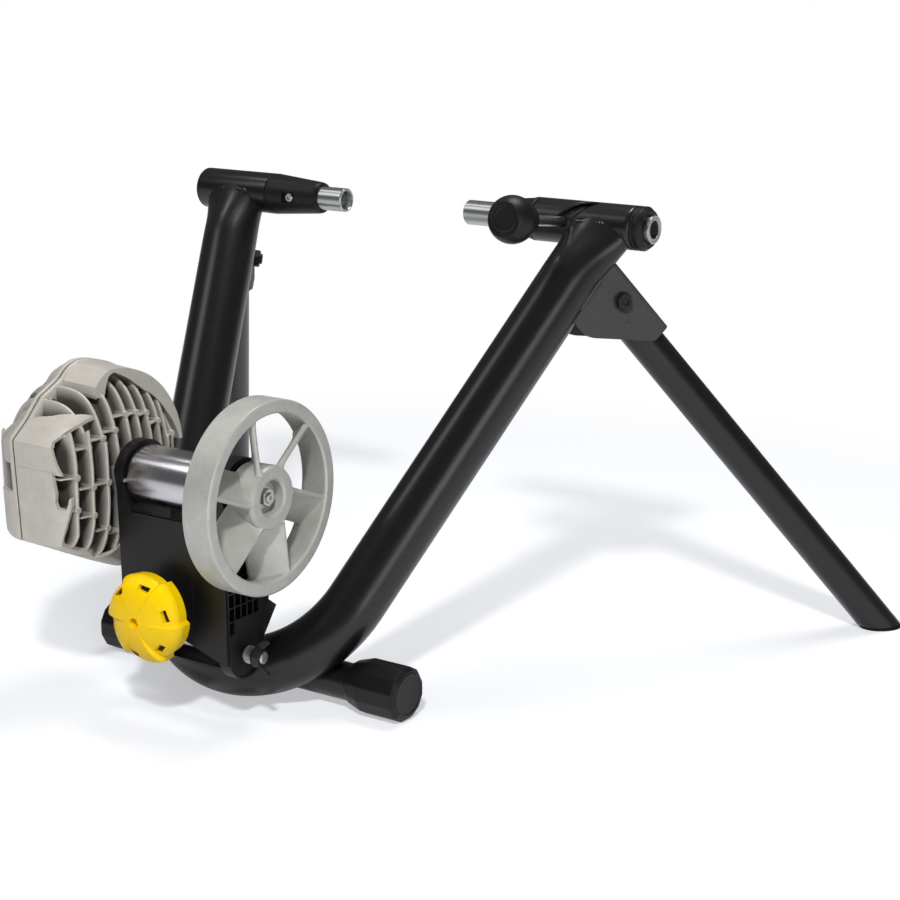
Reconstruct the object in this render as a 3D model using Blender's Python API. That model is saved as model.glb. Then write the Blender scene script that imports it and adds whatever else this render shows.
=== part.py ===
"""Fluid bike trainer, modelled in metres with +Z up.

The frame is a single bent tube whose two uprights carry short crossbars at axle height. A bicycle's rear
axle is clamped between the two spindles, and its tyre runs on a roller that a fan flywheel and a fluid
chamber slow down. The object's length runs along Y, the axle line along X.

Every place below is measured from the axle line: y = 0 under the axle, z = 0 on the floor. The empty called
stand moves all of it so that the footprint is centred on the origin.
"""

import math

import bmesh
import bpy
from mathutils import Matrix, Vector

# Main frame tube
AXLE_HEIGHT = 0.384
UPRIGHT_SPACING = 0.4065
UPRIGHT_SETBACK = 0.003
FRAME_LEAN = math.radians(37.1)
BEND_RADIUS = 0.105
TUBE_RADIUS = 0.0254
BEND_HEIGHT = TUBE_RADIUS + 0.0017
TUBE_WALL = 0.002
TOP_TRIM = 0.006
PINCH_LENGTH = 0.045
PINCH_NARROW = 0.0165
PINCH_WIDE = 0.0275
BEND_STEPS = 10
TUBE_SIDES = 16
WELD_RADIUS = 0.0032
WELD_LENGTH = 0.034
WELD_ANGLE = math.radians(5.0)
WELD_INSET = 0.006

# The tube's depth down its lean, and the taper of an upright that is tangent to the bend
FRAME_DEPTH = (AXLE_HEIGHT - BEND_HEIGHT) / math.cos(FRAME_LEAN)
UPRIGHT_TAPER = math.atan2(UPRIGHT_SPACING / 2, FRAME_DEPTH - BEND_RADIUS) - math.asin(
    BEND_RADIUS / math.hypot(UPRIGHT_SPACING / 2, FRAME_DEPTH - BEND_RADIUS)
)
BEND_Y = -UPRIGHT_SETBACK - FRAME_DEPTH * math.sin(FRAME_LEAN)

# Crossbars and what they carry
CROSSBAR_RADIUS = 0.01905
CROSSBAR_WALL = 0.002
RIGHT_BAR = (UPRIGHT_SPACING / 2 - 0.06585, UPRIGHT_SPACING / 2 + 0.03135)
LEFT_BAR = (-UPRIGHT_SPACING / 2 - 0.03775, -UPRIGHT_SPACING / 2 + 0.04375)
END_CAP_LENGTH = 0.0114
END_PLUG_HEAD = 0.0028
RIGHT_NOSE_LENGTH = 0.0404
LEFT_NOSE_LENGTH = 0.0565
NOSE_TIP_RADIUS = 0.0146
SPINDLE_RADIUS = 0.0110
SPINDLE_CUP_RADIUS = 0.0083
SPINDLE_CUP_DEPTH = 0.012
RIGHT_TIP = RIGHT_BAR[0] - 0.0754
LEFT_TIP = LEFT_BAR[1] + 0.0845
LEFT_SPINDLE_LENGTH = 0.120
COLLAR_RADIUS = 0.0122
COLLAR_LENGTH = 0.0070
SET_SCREW_X = LEFT_BAR[1] + 0.0285
SET_SCREW_RADIUS = 0.004
SET_SCREW_HEAD = 0.0060

# Clamp lever in its helical slot
LEVER_X = RIGHT_BAR[0] + 0.0306
LEVER_ANGLE = math.radians(8.0)
LEVER_TURN = math.radians(75.0)
CLAMP_TRAVEL = 0.025
LEVER_ROD_RADIUS = 0.0045
LEVER_KNOB_REACH = 0.0959
LEVER_KNOB_RADIUS = 0.0208
SLOT_CLEARANCE = 0.00045
SLEEVE_LENGTH = 0.030

# Folding legs
LEG_JOIN = 0.0383
LEG_FOOT = (UPRIGHT_SPACING / 2 + 0.18785, 0.1993)
LEG_RADIUS = 0.015875
LEG_WALL = 0.0016
LEG_PIVOT_DISTANCE = 0.045
LEG_FOOT_HEIGHT = 0.003
BRACKET_GAUGE = 0.0025
BRACKET_INSIDE = LEG_RADIUS + 0.0011
BRACKET_WEB_SPAN = (0.010, 0.092)
BRACKET_REAR = (0.0925, 0.001)
BRACKET_FRONT = ((0.0450, 0.0445), (0.0330, 0.0455), (0.0180, 0.0360))
BRACKET_FOLD = 0.0035
PIVOT_BOLT_RADIUS = 0.005
PIVOT_HEAD_ACROSS = 0.013
PIVOT_HEAD_HEIGHT = 0.0060
PIVOT_NUT_ACROSS = 0.015
PIVOT_NUT_HEIGHT = 0.0072
RIVET_RADIUS = 0.004
RIVET_PLACE = (0.064, 0.010)

# Foot bar and its levelling caps
FOOT_BAR_RADIUS = 0.015875
FOOT_BAR_WALL = 0.002
FOOT_BAR_Y = BEND_Y + 0.03482
FOOT_BAR_HEIGHT = 0.0215
FOOT_BAR_HALF = 0.150
FOOT_CAP_APOTHEM = 0.0227
FOOT_CAP_START = 0.110
FOOT_CAP_END = 0.163
FOOT_CAP_FACES = 12

# Resistance unit
ROLLER_Y = BEND_Y - 0.04168
ROLLER_Z = BEND_HEIGHT + 0.1692
ROLLER_RADIUS = 0.0249
ROLLER_SPAN = (-0.0505, 0.0440)
SHAFT_RADIUS = 0.006
FLYWHEEL_SPAN = (0.0608, 0.0850)
FLYWHEEL_RADIUS = 0.0795
FLYWHEEL_RIM = 0.0105
FLYWHEEL_HUB = 0.0265
FLYWHEEL_BLADES = 6
BLADE_FRONT_ANGLE = math.radians(-12.7)
BLADE_TWIST = math.radians(22.0)
BLADE_THICKNESS = 0.0035
BLADE_STEPS = 2
NUT_ACROSS = 0.013
IMPELLER_VANES = 6
YOKE_LEFT = (-0.0620, -0.0510)
YOKE_RIGHT = (0.0450, 0.0570)
YOKE_REAR = ROLLER_Y - 0.0254
YOKE_WALL = 0.0045
YOKE_WALL_SPAN = (ROLLER_Z - 0.1183, ROLLER_Z - 0.0183)
YOKE_RING_RADIUS = 0.0285
YOKE_EAR_RADIUS = 0.018
POCKET_ROWS = 5
POCKET_COLUMNS = 4
POCKET_PITCH = 0.0082
POCKET_RIB = 0.0014
POCKET_DEPTH = 0.008
BEARING_RADIUS = 0.014
BEARING_WIDTH = 0.008
PIVOT_Y = BEND_Y - 0.04298
PIVOT_Z = BEND_HEIGHT + 0.0335
PIVOT_ROD_RADIUS = 0.005
WING_NUT_SPAN = (YOKE_RIGHT[1] + 0.0095, YOKE_RIGHT[1] + 0.0165)
WING_NUT_RADIUS = 0.0085

# Tension screw
TRUNNION_Y = PIVOT_Y + 0.0239
TRUNNION_Z = PIVOT_Z + 0.0324
TENSION_X = -0.0060
SEAT_Y = YOKE_REAR - 0.0100
SEAT_RADIUS = 0.014
SEAT_BOSS_RADIUS = 0.018
ROD_HOLE_RADIUS = 0.0085
TENSION_ROD_RADIUS = 0.005
CLUTCH_FACE_Y = SEAT_Y - 0.0095
CLUTCH_FLANGE = 0.005
CLUTCH_RADIUS = 0.0265
SPRING_HEIGHT = 0.0035
CROSS_NUT_RADIUS = 0.008
TRUNNION_RADIUS = 0.005
KNOB_RADIUS = 0.0385
KNOB_LOBES = 6
KNOB_LOBE_DEPTH = 0.0025
KNOB_LOBE_ANGLE = math.radians(64.0)
KNOB_SKIRT_Y = SEAT_Y
KNOB_RIM_Y = KNOB_SKIRT_Y - 0.0135
KNOB_APEX_Y = KNOB_RIM_Y - 0.0175
KNOB_SHELL = 0.003
KNOB_BOSS_RADIUS = 0.0130
KNOB_EYE_RADIUS = 0.0042
KNOB_EYE_DEPTH = 0.006
KNOB_SLOT_ANGLE = math.radians(18.0)
KNOB_SLOT = (0.0255, 0.0310)
KNOB_SLOT_HALF = 0.0030

# Pivot bracket on the bend
BRACKET_CHEEKS = (-0.0490, 0.0440)
BRACKET_PLATE = 0.004
BRACKET_REACH = 0.012

# Fluid chamber housing
SEAM_X = -0.1200
HOUSING_RADIUS = 0.0860
HOUSING_FLAT_X = -0.0650
HOUSING_FLAT_RADIUS = 0.0400
HOUSING_OUTER_X = -0.1660
HOUSING_LIP = 0.0004
DOME_RADIUS = HOUSING_RADIUS - 0.0020
OUTER_END_RADIUS = HOUSING_RADIUS - 0.0420
OUTER_FLAT_RADIUS = HOUSING_FLAT_RADIUS - 0.0040
CORE_RADIUS = HOUSING_RADIUS - 0.0260
CORE_STEP_X = -0.083
CORE_FACE_X = -0.077
CORE_FACE_RADIUS = 0.046
NECK_RADIUS = 0.018
OUTER_CORE_STEP_X = -0.150
OUTER_CORE_FACE_X = -0.156
CAVITY_RADIUS = CORE_RADIUS - 0.0080
CAVITY_SHOULDER_X = -0.093
CAVITY_FACE_X = -0.089
CAVITY_CORNER = 0.006
SEAL_X = -0.0815
SEAL_RADIUS = 0.0135
OUTER_CAVITY_SHOULDER_X = -0.141
OUTER_CAVITY_FACE_X = -0.146
GASKET_RADIUS = CORE_RADIUS + 0.0075
FLANGE = 0.0040
FIN_THICKNESS = 0.0032
FIN_COUNT = 10
FIN_FIRST = 0.0260 - HOUSING_RADIUS
FIN_PITCH = (2 * HOUSING_RADIUS - 0.0460) / (FIN_COUNT - 1)
SCREW_CIRCLE = HOUSING_RADIUS - 0.0140
SCREW_RADIUS = 0.0020
SCREW_HEAD_RADIUS = 0.0040
SCREW_HEAD_HEIGHT = 0.0035
SCREW_DEPTH = 0.0085
SCREW_REACH = 0.009
POST_HEIGHT = 0.012
SCREW_POST = 0.0064
SCREW_FIN_GAP = 1
PANEL_THICKNESS = 0.0035
PANEL_PROUD = 0.0012
PANEL_GRID = 0.0230
PANEL_TURN = 20.0
PANEL_SHIFT = 3.0
SEAM_GAP = 0.0016

# Clearances
SEAT_GAP = 0.0003
RUNNING_GAP = 0.00008
LEG_CLEARANCE = 0.0005
SIDES = 16
COPE_SIDES = 28
CUTTER_TURN = 0.07


def clear_scene():
    for item in list(bpy.data.objects):
        bpy.data.objects.remove(item, do_unlink=True)


def look(name, colour, roughness, metallic):
    """A Principled material; colour is written as it looks, in sRGB."""
    made = bpy.data.materials.new(name)
    made.use_nodes = True
    shader = made.node_tree.nodes["Principled BSDF"]
    linear = [((c + 0.055) / 1.055) ** 2.4 if c > 0.04045 else c / 12.92 for c in colour]
    shader.inputs["Base Color"].default_value = (*linear, 1.0)
    shader.inputs["Roughness"].default_value = roughness
    shader.inputs["Metallic"].default_value = metallic
    made.diffuse_color = (*linear, 1.0)
    return made


clear_scene()
POWDER_COAT = look("powder_coat", (0.12, 0.115, 0.115), 0.55, 0.0)
BRACKET_PAINT = look("bracket_paint", (0.20, 0.20, 0.20), 0.6, 0.0)
BLACK_PLASTIC = look("black_plastic", (0.10, 0.10, 0.10), 0.5, 0.0)
BLACK_RUBBER = look("black_rubber", (0.09, 0.09, 0.09), 0.8, 0.0)
ZINC_PLATE = look("zinc_plate", (0.70, 0.72, 0.72), 0.3, 1.0)
POLISHED = look("polished_aluminium", (0.80, 0.80, 0.82), 0.18, 1.0)
CAST_ALUMINIUM = look("cast_aluminium", (0.72, 0.70, 0.68), 0.5, 0.9)
CAST_IRON = look("cast_flywheel", (0.68, 0.68, 0.65), 0.5, 0.9)
BLACK_STEEL = look("black_steel", (0.14, 0.13, 0.13), 0.4, 0.7)
KNOB_YELLOW = look("knob_yellow", (0.98, 0.82, 0.02), 0.35, 0.0)

# Values that follow from the driving dimensions
LEAN_DOWN = Vector((0.0, -math.sin(FRAME_LEAN), -math.cos(FRAME_LEAN)))
LEAN_REAR = Vector((0.0, -math.cos(FRAME_LEAN), math.sin(FRAME_LEAN)))
UPRIGHT_TOP = Vector((UPRIGHT_SPACING / 2, -UPRIGHT_SETBACK, AXLE_HEIGHT))
UPRIGHT_DOWN = Vector((-math.sin(UPRIGHT_TAPER), 0.0, 0.0)) + math.cos(UPRIGHT_TAPER) * LEAN_DOWN
LEG_START = UPRIGHT_TOP + LEG_JOIN * UPRIGHT_DOWN
LEG_END = Vector((LEG_FOOT[0], LEG_FOOT[1], 0.0))
LEG_LENGTH = (LEG_END - LEG_START).length
LEG_DOWN = (LEG_END - LEG_START).normalized()
LEG_INWARD = (UPRIGHT_DOWN - UPRIGHT_DOWN.dot(LEG_DOWN) * LEG_DOWN).normalized()
LEG_NORMAL = LEG_DOWN.cross(LEG_INWARD)
CAP_ECCENTRICITY = FOOT_CAP_APOTHEM - FOOT_BAR_HEIGHT
HOUSING_REAR = ROLLER_Y - HOUSING_RADIUS
LEG_HEADING = Vector((LEG_DOWN.x, LEG_DOWN.y)).normalized()
LEG_TIP = LEG_FOOT[1] + math.hypot(
    LEG_RADIUS * LEG_HEADING.y / abs(LEG_DOWN.z), LEG_RADIUS * LEG_HEADING.x
)
STAND_Y = -(HOUSING_REAR + LEG_TIP) / 2


def empty(name, at, parent=None):
    """An axis marker; at is in the stand's own places."""
    marker = bpy.data.objects.new(name, None)
    marker.empty_display_size = 0.02
    bpy.context.scene.collection.objects.link(marker)
    marker["at"] = tuple(at)
    marker.parent = parent
    marker.location = Vector(at) - Vector(parent["at"] if parent else (0, 0, 0))
    return marker


STAND = empty("stand", (0, 0, 0))
STAND.location = (0, STAND_Y, 0)


def finished_mesh(name, shape):
    """Turns a bmesh into a mesh with its faces pointing out and its round sides smooth."""
    bmesh.ops.remove_doubles(shape, verts=shape.verts, dist=1e-7)
    bmesh.ops.recalc_face_normals(shape, faces=shape.faces)
    mesh = bpy.data.meshes.new(name)
    shape.to_mesh(mesh)
    shape.free()
    mesh.shade_smooth()
    mesh.set_sharp_from_angle(angle=math.radians(35))
    return mesh


def put(name, shape, material, carrier=None):
    """Adds one piece. Its shape is drawn in the stand's places and rides on its carrier."""
    carrier = carrier or STAND
    piece = bpy.data.objects.new(name, finished_mesh(name, shape))
    bpy.context.scene.collection.objects.link(piece)
    if material:
        piece.data.materials.append(material)
    piece.parent = carrier
    piece.location = -Vector(carrier["at"])
    return piece


def combine(piece, operation, shape):
    """Adds a Boolean to the piece, with a hidden helper of the given shape."""
    helper = put(f"{piece.name}_{operation.lower()}_{len(piece.modifiers)}", shape, None, piece.parent)
    helper.hide_render = True
    helper.display_type = "WIRE"
    modifier = piece.modifiers.new(operation.lower(), "BOOLEAN")
    modifier.operation = operation
    modifier.solver = "EXACT"
    modifier.object = helper


def cut(piece, *shapes):
    for shape in shapes:
        combine(piece, "DIFFERENCE", shape)


def join(piece, *shapes):
    for shape in shapes:
        combine(piece, "UNION", shape)


def turned(profile, centre=(0.0, 0.0), along="X", sides=SIDES, start=0.0):
    """Turns an outline of (distance, radius) points about an axis through centre.

    centre holds the two places across the axis. An outline that starts and ends on the axis makes a solid,
    and any other closes on itself into a ring.
    """
    shape = bmesh.new()
    points = [shape.verts.new((distance, 0.0, radius)) for distance, radius in profile]
    edges = [shape.edges.new(pair) for pair in zip(points, points[1:])]
    if profile[0][1] > 0 or profile[-1][1] > 0:
        edges.append(shape.edges.new((points[-1], points[0])))
    bmesh.ops.rotate(shape, verts=points, matrix=Matrix.Rotation(start, 3, "X"))
    bmesh.ops.spin(
        shape, geom=points + edges, cent=(0, 0, 0), axis=(1, 0, 0), angle=math.tau,
        steps=sides, use_merge=True,
    )
    bmesh.ops.remove_doubles(shape, verts=shape.verts, dist=1e-7)
    if along == "X":
        place = Matrix.Translation((0, *centre))
    elif along == "Y":
        place = Matrix.Translation((centre[0], 0, centre[1])) @ Matrix.Rotation(math.pi / 2, 4, "Z")
    else:
        place = Matrix.Translation((*centre, 0)) @ Matrix.Rotation(-math.pi / 2, 4, "Y")
    bmesh.ops.transform(shape, matrix=place, verts=shape.verts)
    return shape


def rod(low, high, radius, centre=(0.0, 0.0), along="X", sides=SIDES, start=0.0):
    return turned([(low, 0), (low, radius), (high, radius), (high, 0)], centre, along, sides, start)


def bore(low, high, radius, centre=(0.0, 0.0), along="X", sides=SIDES):
    """A cutter whose flats, not its corners, lie at the radius, so that a round piece runs in it.

    Its corners are turned a little, so that none lines up with a corner of the solid it cuts.
    """
    return rod(low, high, radius / math.cos(math.pi / sides), centre, along, sides, CUTTER_TURN)


def ring(low, high, inner, outer, centre=(0.0, 0.0), along="X", sides=SIDES):
    inner = inner / math.cos(math.pi / sides)
    profile = [(low, inner), (low, outer), (high, outer), (high, inner)]
    return turned(profile, centre, along, sides)


def prism(outline, low, high, along="X"):
    """An outline carried along one axis; its points are (y, z), (x, z) or (x, y)."""
    spread = {
        "X": lambda a, b, c: (c, a, b),
        "Y": lambda a, b, c: (a, c, b),
        "Z": lambda a, b, c: (a, b, c),
    }[along]
    shape = bmesh.new()
    face = shape.faces.new([shape.verts.new(spread(a, b, low)) for a, b in outline])
    lifted = bmesh.ops.extrude_face_region(shape, geom=[face])["geom"]
    moved = [item for item in lifted if isinstance(item, bmesh.types.BMVert)]
    bmesh.ops.translate(shape, verts=moved, vec=spread(0, 0, high - low))
    return shape


def block(low, high):
    outline = [(low[1], low[2]), (high[1], low[2]), (high[1], high[2]), (low[1], high[2])]
    return prism(outline, low[0], high[0])


def arc(centre, radius, start, end, steps):
    """Points on a circle, from one angle to another in degrees."""
    turns = [math.radians(start + (end - start) * step / steps) for step in range(steps + 1)]
    return [(centre[0] + radius * math.cos(t), centre[1] + radius * math.sin(t)) for t in turns]


def rounded(outline, radii, steps=3):
    """The outline with a fillet of the given radius at each corner."""
    made = []
    for index, (corner, radius) in enumerate(zip(outline, radii)):
        here = Vector(corner)
        back = (Vector(outline[index - 1]) - here).normalized()
        ahead = (Vector(outline[(index + 1) % len(outline)]) - here).normalized()
        if radius <= 0:
            made.append(tuple(here))
            continue
        half = math.acos(max(-1.0, min(1.0, back.dot(ahead)))) / 2
        middle = here + (back + ahead).normalized() * radius / math.sin(half)
        first = here + back * radius / math.tan(half) - middle
        last = here + ahead * radius / math.tan(half) - middle
        for step in range(steps + 1):
            turned_by = step / steps
            made.append(tuple(middle + radius * first.normalized().slerp(last.normalized(), turned_by)))
    return made


def swept(path, normal, sizes, sides=SIDES):
    """Closed rings along a flat path; sizes holds each ring's half width in the path's plane and across."""
    shape = bmesh.new()
    rings = []
    for index, (point, (wide, deep)) in enumerate(zip(path, sizes)):
        before = path[max(index - 1, 0)]
        after = path[min(index + 1, len(path) - 1)]
        side = (after - before).normalized().cross(normal).normalized()
        spots = [
            point + wide * math.cos(t) * side + deep * math.sin(t) * normal
            for t in (math.tau * k / sides for k in range(sides))
        ]
        rings.append([shape.verts.new(spot) for spot in spots])
    for first, second in zip(rings, rings[1:]):
        for k in range(sides):
            after = (k + 1) % sides
            shape.faces.new((first[k], first[after], second[after], second[k]))
    shape.faces.new(rings[0])
    shape.faces.new(rings[-1])
    bmesh.ops.triangulate(shape, faces=shape.faces)
    bmesh.ops.recalc_face_normals(shape, faces=shape.faces)
    return shape


def moved_by(shape, matrix):
    bmesh.ops.transform(shape, matrix=matrix, verts=shape.verts)
    bmesh.ops.recalc_face_normals(shape, faces=shape.faces)
    return shape


def axes_matrix(origin, first, second, third):
    matrix = Matrix((first, second, third)).transposed().to_4x4()
    matrix.translation = origin
    return matrix


MIRROR = Matrix.Scale(-1, 4, (1, 0, 0))
LEG_PLACE = axes_matrix(LEG_START, LEG_DOWN, LEG_INWARD, LEG_NORMAL)
BEND_PLACE = axes_matrix(UPRIGHT_TOP * Vector((0, 1, 1)), Vector((1, 0, 0)), LEAN_DOWN, LEAN_REAR)


def hexagon(across, centre=(0.0, 0.0)):
    return arc(centre, across / math.sqrt(3), 0, 300, 5)


# Main frame


def frame_path():
    """Points down the right upright, round the bend and up the left one."""
    pinched = [TOP_TRIM, 0.45 * PINCH_LENGTH, PINCH_LENGTH]
    right = [UPRIGHT_TOP + down * UPRIGHT_DOWN for down in pinched]
    centre = UPRIGHT_TOP * Vector((0, 1, 1)) + (FRAME_DEPTH - BEND_RADIUS) * LEAN_DOWN
    turns = [
        UPRIGHT_TAPER + (math.pi - 2 * UPRIGHT_TAPER) * step / BEND_STEPS
        for step in range(BEND_STEPS + 1)
    ]
    bend = [
        centre + BEND_RADIUS * (math.cos(t) * Vector((1, 0, 0)) + math.sin(t) * LEAN_DOWN)
        for t in turns
    ]
    left = [point * Vector((-1, 1, 1)) for point in reversed(right)]
    return right + bend + left


def pinch_sizes(count, less):
    """The tube's half sizes along the path: each top is pressed flatter to suit the crossbar."""
    ends = [(PINCH_WIDE, PINCH_NARROW), ((PINCH_WIDE + TUBE_RADIUS) / 2, (PINCH_NARROW + TUBE_RADIUS) / 2)]
    sizes = ends + [(TUBE_RADIUS, TUBE_RADIUS)] * (count - 4) + ends[::-1]
    return [(wide - less, deep - less) for wide, deep in sizes]


def crossbar_cutter(side):
    reach = UPRIGHT_SPACING
    low, high = (0.02, reach) if side > 0 else (-reach, -0.02)
    return bore(low, high, CROSSBAR_RADIUS + SEAT_GAP, (0, AXLE_HEIGHT), sides=24)


def weld_bead(start, end, radius, sides=8):
    """A rounded bar from start to end, such as a short weld."""
    along = (end - start).normalized()
    length = (end - start).length
    half = radius * 0.7
    profile = [(0, 0), (0.0, half), (radius, radius), (length - radius, radius), (length, half), (length, 0)]
    shape = turned(profile, sides=sides)
    return moved_by(shape, Matrix.Translation(start) @ along.to_track_quat("X", "Z").to_matrix().to_4x4())


def make_main_frame():
    path = frame_path()
    shape = swept(path, LEAN_REAR, pinch_sizes(len(path), 0.0), TUBE_SIDES)
    tube = put("main_frame_tube", shape, POWDER_COAT)
    for side in (1, -1):
        weld = Vector((
            UPRIGHT_TOP.x - WELD_LENGTH / 2 - WELD_INSET,
            -(CROSSBAR_RADIUS + WELD_RADIUS / 2) * math.cos(WELD_ANGLE),
            AXLE_HEIGHT + (CROSSBAR_RADIUS + WELD_RADIUS / 2) * math.sin(WELD_ANGLE),
        ))
        start = weld * Vector((side, 1, 1))
        end = (weld + Vector((WELD_LENGTH, 0, 0))) * Vector((side, 1, 1))
        join(tube, weld_bead(start, end, WELD_RADIUS))
    for side in (1, -1):
        cut(tube, crossbar_cutter(side))
    past = path[0] - 0.02 * UPRIGHT_DOWN
    bore_path = [past] + path + [past * Vector((-1, 1, 1))]
    sizes = pinch_sizes(len(path), TUBE_WALL)
    cut(tube, swept(bore_path, LEAN_REAR, sizes[:1] + sizes + sizes[-1:], 10))


def slot_outline():
    """Sections of the lever's helical slot: angle, and the lowest and highest x there.

    The slot is a round-ended stadium on the unrolled inner wall, where the rod has least room. Its stations
    are close together round the two ends.
    """
    round_end = [math.cos(math.radians(t)) for t in (8, 40, 72, 104, 135)]
    half = (LEVER_ROD_RADIUS + SLOT_CLEARANCE) / math.cos(math.radians(16))
    wall = CROSSBAR_RADIUS - CROSSBAR_WALL
    arc_length = wall * LEVER_TURN
    slant = math.hypot(arc_length, CLAMP_TRAVEL)
    unit = (arc_length / slant, CLAMP_TRAVEL / slant)
    spreads = [-half * share for share in round_end]
    last = arc_length + half * round_end[-1]
    spreads += [spreads[-1] + (last - spreads[-1]) * share for share in (0.25, 0.5, 0.75)]
    spreads += [arc_length + half * share for share in reversed(round_end)]
    sections = []
    for spread in spreads:
        reach = []
        for k in range(65):
            centre = slant * k / 64
            across = spread - centre * unit[0]
            if abs(across) < half:
                width = math.sqrt(half**2 - across**2)
                reach += [centre * unit[1] - width, centre * unit[1] + width]
        sections.append((LEVER_ANGLE + spread / wall, LEVER_X + min(reach), LEVER_X + max(reach)))
    return sections


def slot_cutter():
    shape = bmesh.new()
    rings = []
    for angle, low, high in slot_outline():
        corners = []
        for radius, x in ((0.012, low), (0.012, high), (0.024, high), (0.024, low)):
            place = (x, -radius * math.cos(angle), AXLE_HEIGHT + radius * math.sin(angle))
            corners.append(shape.verts.new(place))
        rings.append(corners)
    for first, second in zip(rings, rings[1:]):
        for k in range(4):
            after = (k + 1) % 4
            shape.faces.new((first[k], first[after], second[after], second[k]))
    shape.faces.new(rings[0])
    shape.faces.new(rings[-1])
    bmesh.ops.triangulate(shape, faces=shape.faces)
    bmesh.ops.recalc_face_normals(shape, faces=shape.faces)
    return shape


def make_crossbars():
    inner = CROSSBAR_RADIUS - CROSSBAR_WALL
    at = (0, AXLE_HEIGHT)
    right = put("right_crossbar", ring(*RIGHT_BAR, inner, CROSSBAR_RADIUS, at, sides=24), POWDER_COAT)
    cut(right, slot_cutter())
    put("left_crossbar", ring(*LEFT_BAR, inner, CROSSBAR_RADIUS, at, sides=24), POWDER_COAT)

    spigot = inner - SEAT_GAP
    passing = (SPINDLE_RADIUS + RUNNING_GAP) / math.cos(math.pi / SIDES)
    start = RIGHT_BAR[0] - SEAT_GAP
    tip = start - RIGHT_NOSE_LENGTH
    nose = [
        (tip, passing), (tip, NOSE_TIP_RADIUS - 0.001), (tip + 0.002, NOSE_TIP_RADIUS),
        (start - 0.007, CROSSBAR_RADIUS - 0.0012), (start - 0.003, CROSSBAR_RADIUS),
        (start, CROSSBAR_RADIUS), (start, spigot), (start + 0.008, spigot), (start + 0.008, passing),
    ]
    put("right_nose_bush", turned(nose, at), BLACK_PLASTIC)

    start = LEFT_BAR[1] + SEAT_GAP
    tip = start + LEFT_NOSE_LENGTH
    nose = [
        (tip, passing), (tip, NOSE_TIP_RADIUS - 0.001), (tip - 0.002, NOSE_TIP_RADIUS),
        (start + 0.012, CROSSBAR_RADIUS - 0.0008), (start + 0.003, CROSSBAR_RADIUS),
        (start, CROSSBAR_RADIUS), (start, spigot), (start - 0.008, spigot), (start - 0.008, passing),
    ]
    left_nose = put("left_nose_bush", turned(nose, at), BLACK_PLASTIC)
    boss_y = -SPINDLE_RADIUS
    half_wide, half_high = 2 * SET_SCREW_RADIUS, 1.25 * SET_SCREW_RADIUS
    window = block(
        (SET_SCREW_X - half_wide, -2 * NOSE_TIP_RADIUS, AXLE_HEIGHT - half_high),
        (SET_SCREW_X + half_wide, -NOSE_TIP_RADIUS + 0.0001, AXLE_HEIGHT + half_high),
    )
    screw_at = (SET_SCREW_X, AXLE_HEIGHT)
    hole = bore(-2 * NOSE_TIP_RADIUS, boss_y + 0.0002, SET_SCREW_RADIUS + SEAT_GAP, screw_at, "Y", 12)
    cut(left_nose, window, hole)
    face, socket = boss_y - SET_SCREW_HEAD, 0.0015
    screw = [
        (face + 0.0012, 0), (face + 0.0012, socket), (face, socket), (face, SET_SCREW_RADIUS - 0.0004),
        (face + 0.0005, SET_SCREW_RADIUS), (boss_y - SEAT_GAP, SET_SCREW_RADIUS), (boss_y - SEAT_GAP, 0),
    ]
    put("left_set_screw", turned(screw, screw_at, "Y", 12), ZINC_PLATE)

    start = RIGHT_BAR[1] + SEAT_GAP
    end = start + END_CAP_LENGTH
    cap = [
        (start, spigot), (start, CROSSBAR_RADIUS), (end - 0.004, CROSSBAR_RADIUS),
        (end, CROSSBAR_RADIUS - 0.003), (end, passing), (start - 0.010, passing), (start - 0.010, spigot),
    ]
    put("right_end_cap", turned(cap, at), BLACK_PLASTIC)

    start = LEFT_BAR[0] - SEAT_GAP
    head = start - END_PLUG_HEAD
    plug = [
        (head, 0), (head, CROSSBAR_RADIUS - 0.003), (head + 0.0015, CROSSBAR_RADIUS),
        (start, CROSSBAR_RADIUS), (start, spigot), (start + 0.012, spigot),
        (start + 0.012, spigot - 0.003), (start + 0.002, spigot - 0.003), (start + 0.002, 0),
    ]
    put("left_end_plug", turned(plug, at), BLACK_PLASTIC)


# Clamp: sliding spindles, sleeve and lever


def cup_profile(tip, inward, end):
    """The spindle's outline from its cup-shaped tip; inward is +1 or -1, the way into the bar."""
    return [
        (tip + inward * SPINDLE_CUP_DEPTH, 0),
        (tip + inward * SPINDLE_CUP_DEPTH, 0.8 * SPINDLE_CUP_RADIUS),
        (tip + inward * 0.35 * SPINDLE_CUP_DEPTH, SPINDLE_CUP_RADIUS - 0.0008),
        (tip, SPINDLE_CUP_RADIUS + 0.0007),
        (tip, SPINDLE_RADIUS - 0.0008),
        (tip + inward * 0.0008, SPINDLE_RADIUS),
        (end, SPINDLE_RADIUS),
    ]


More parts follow.
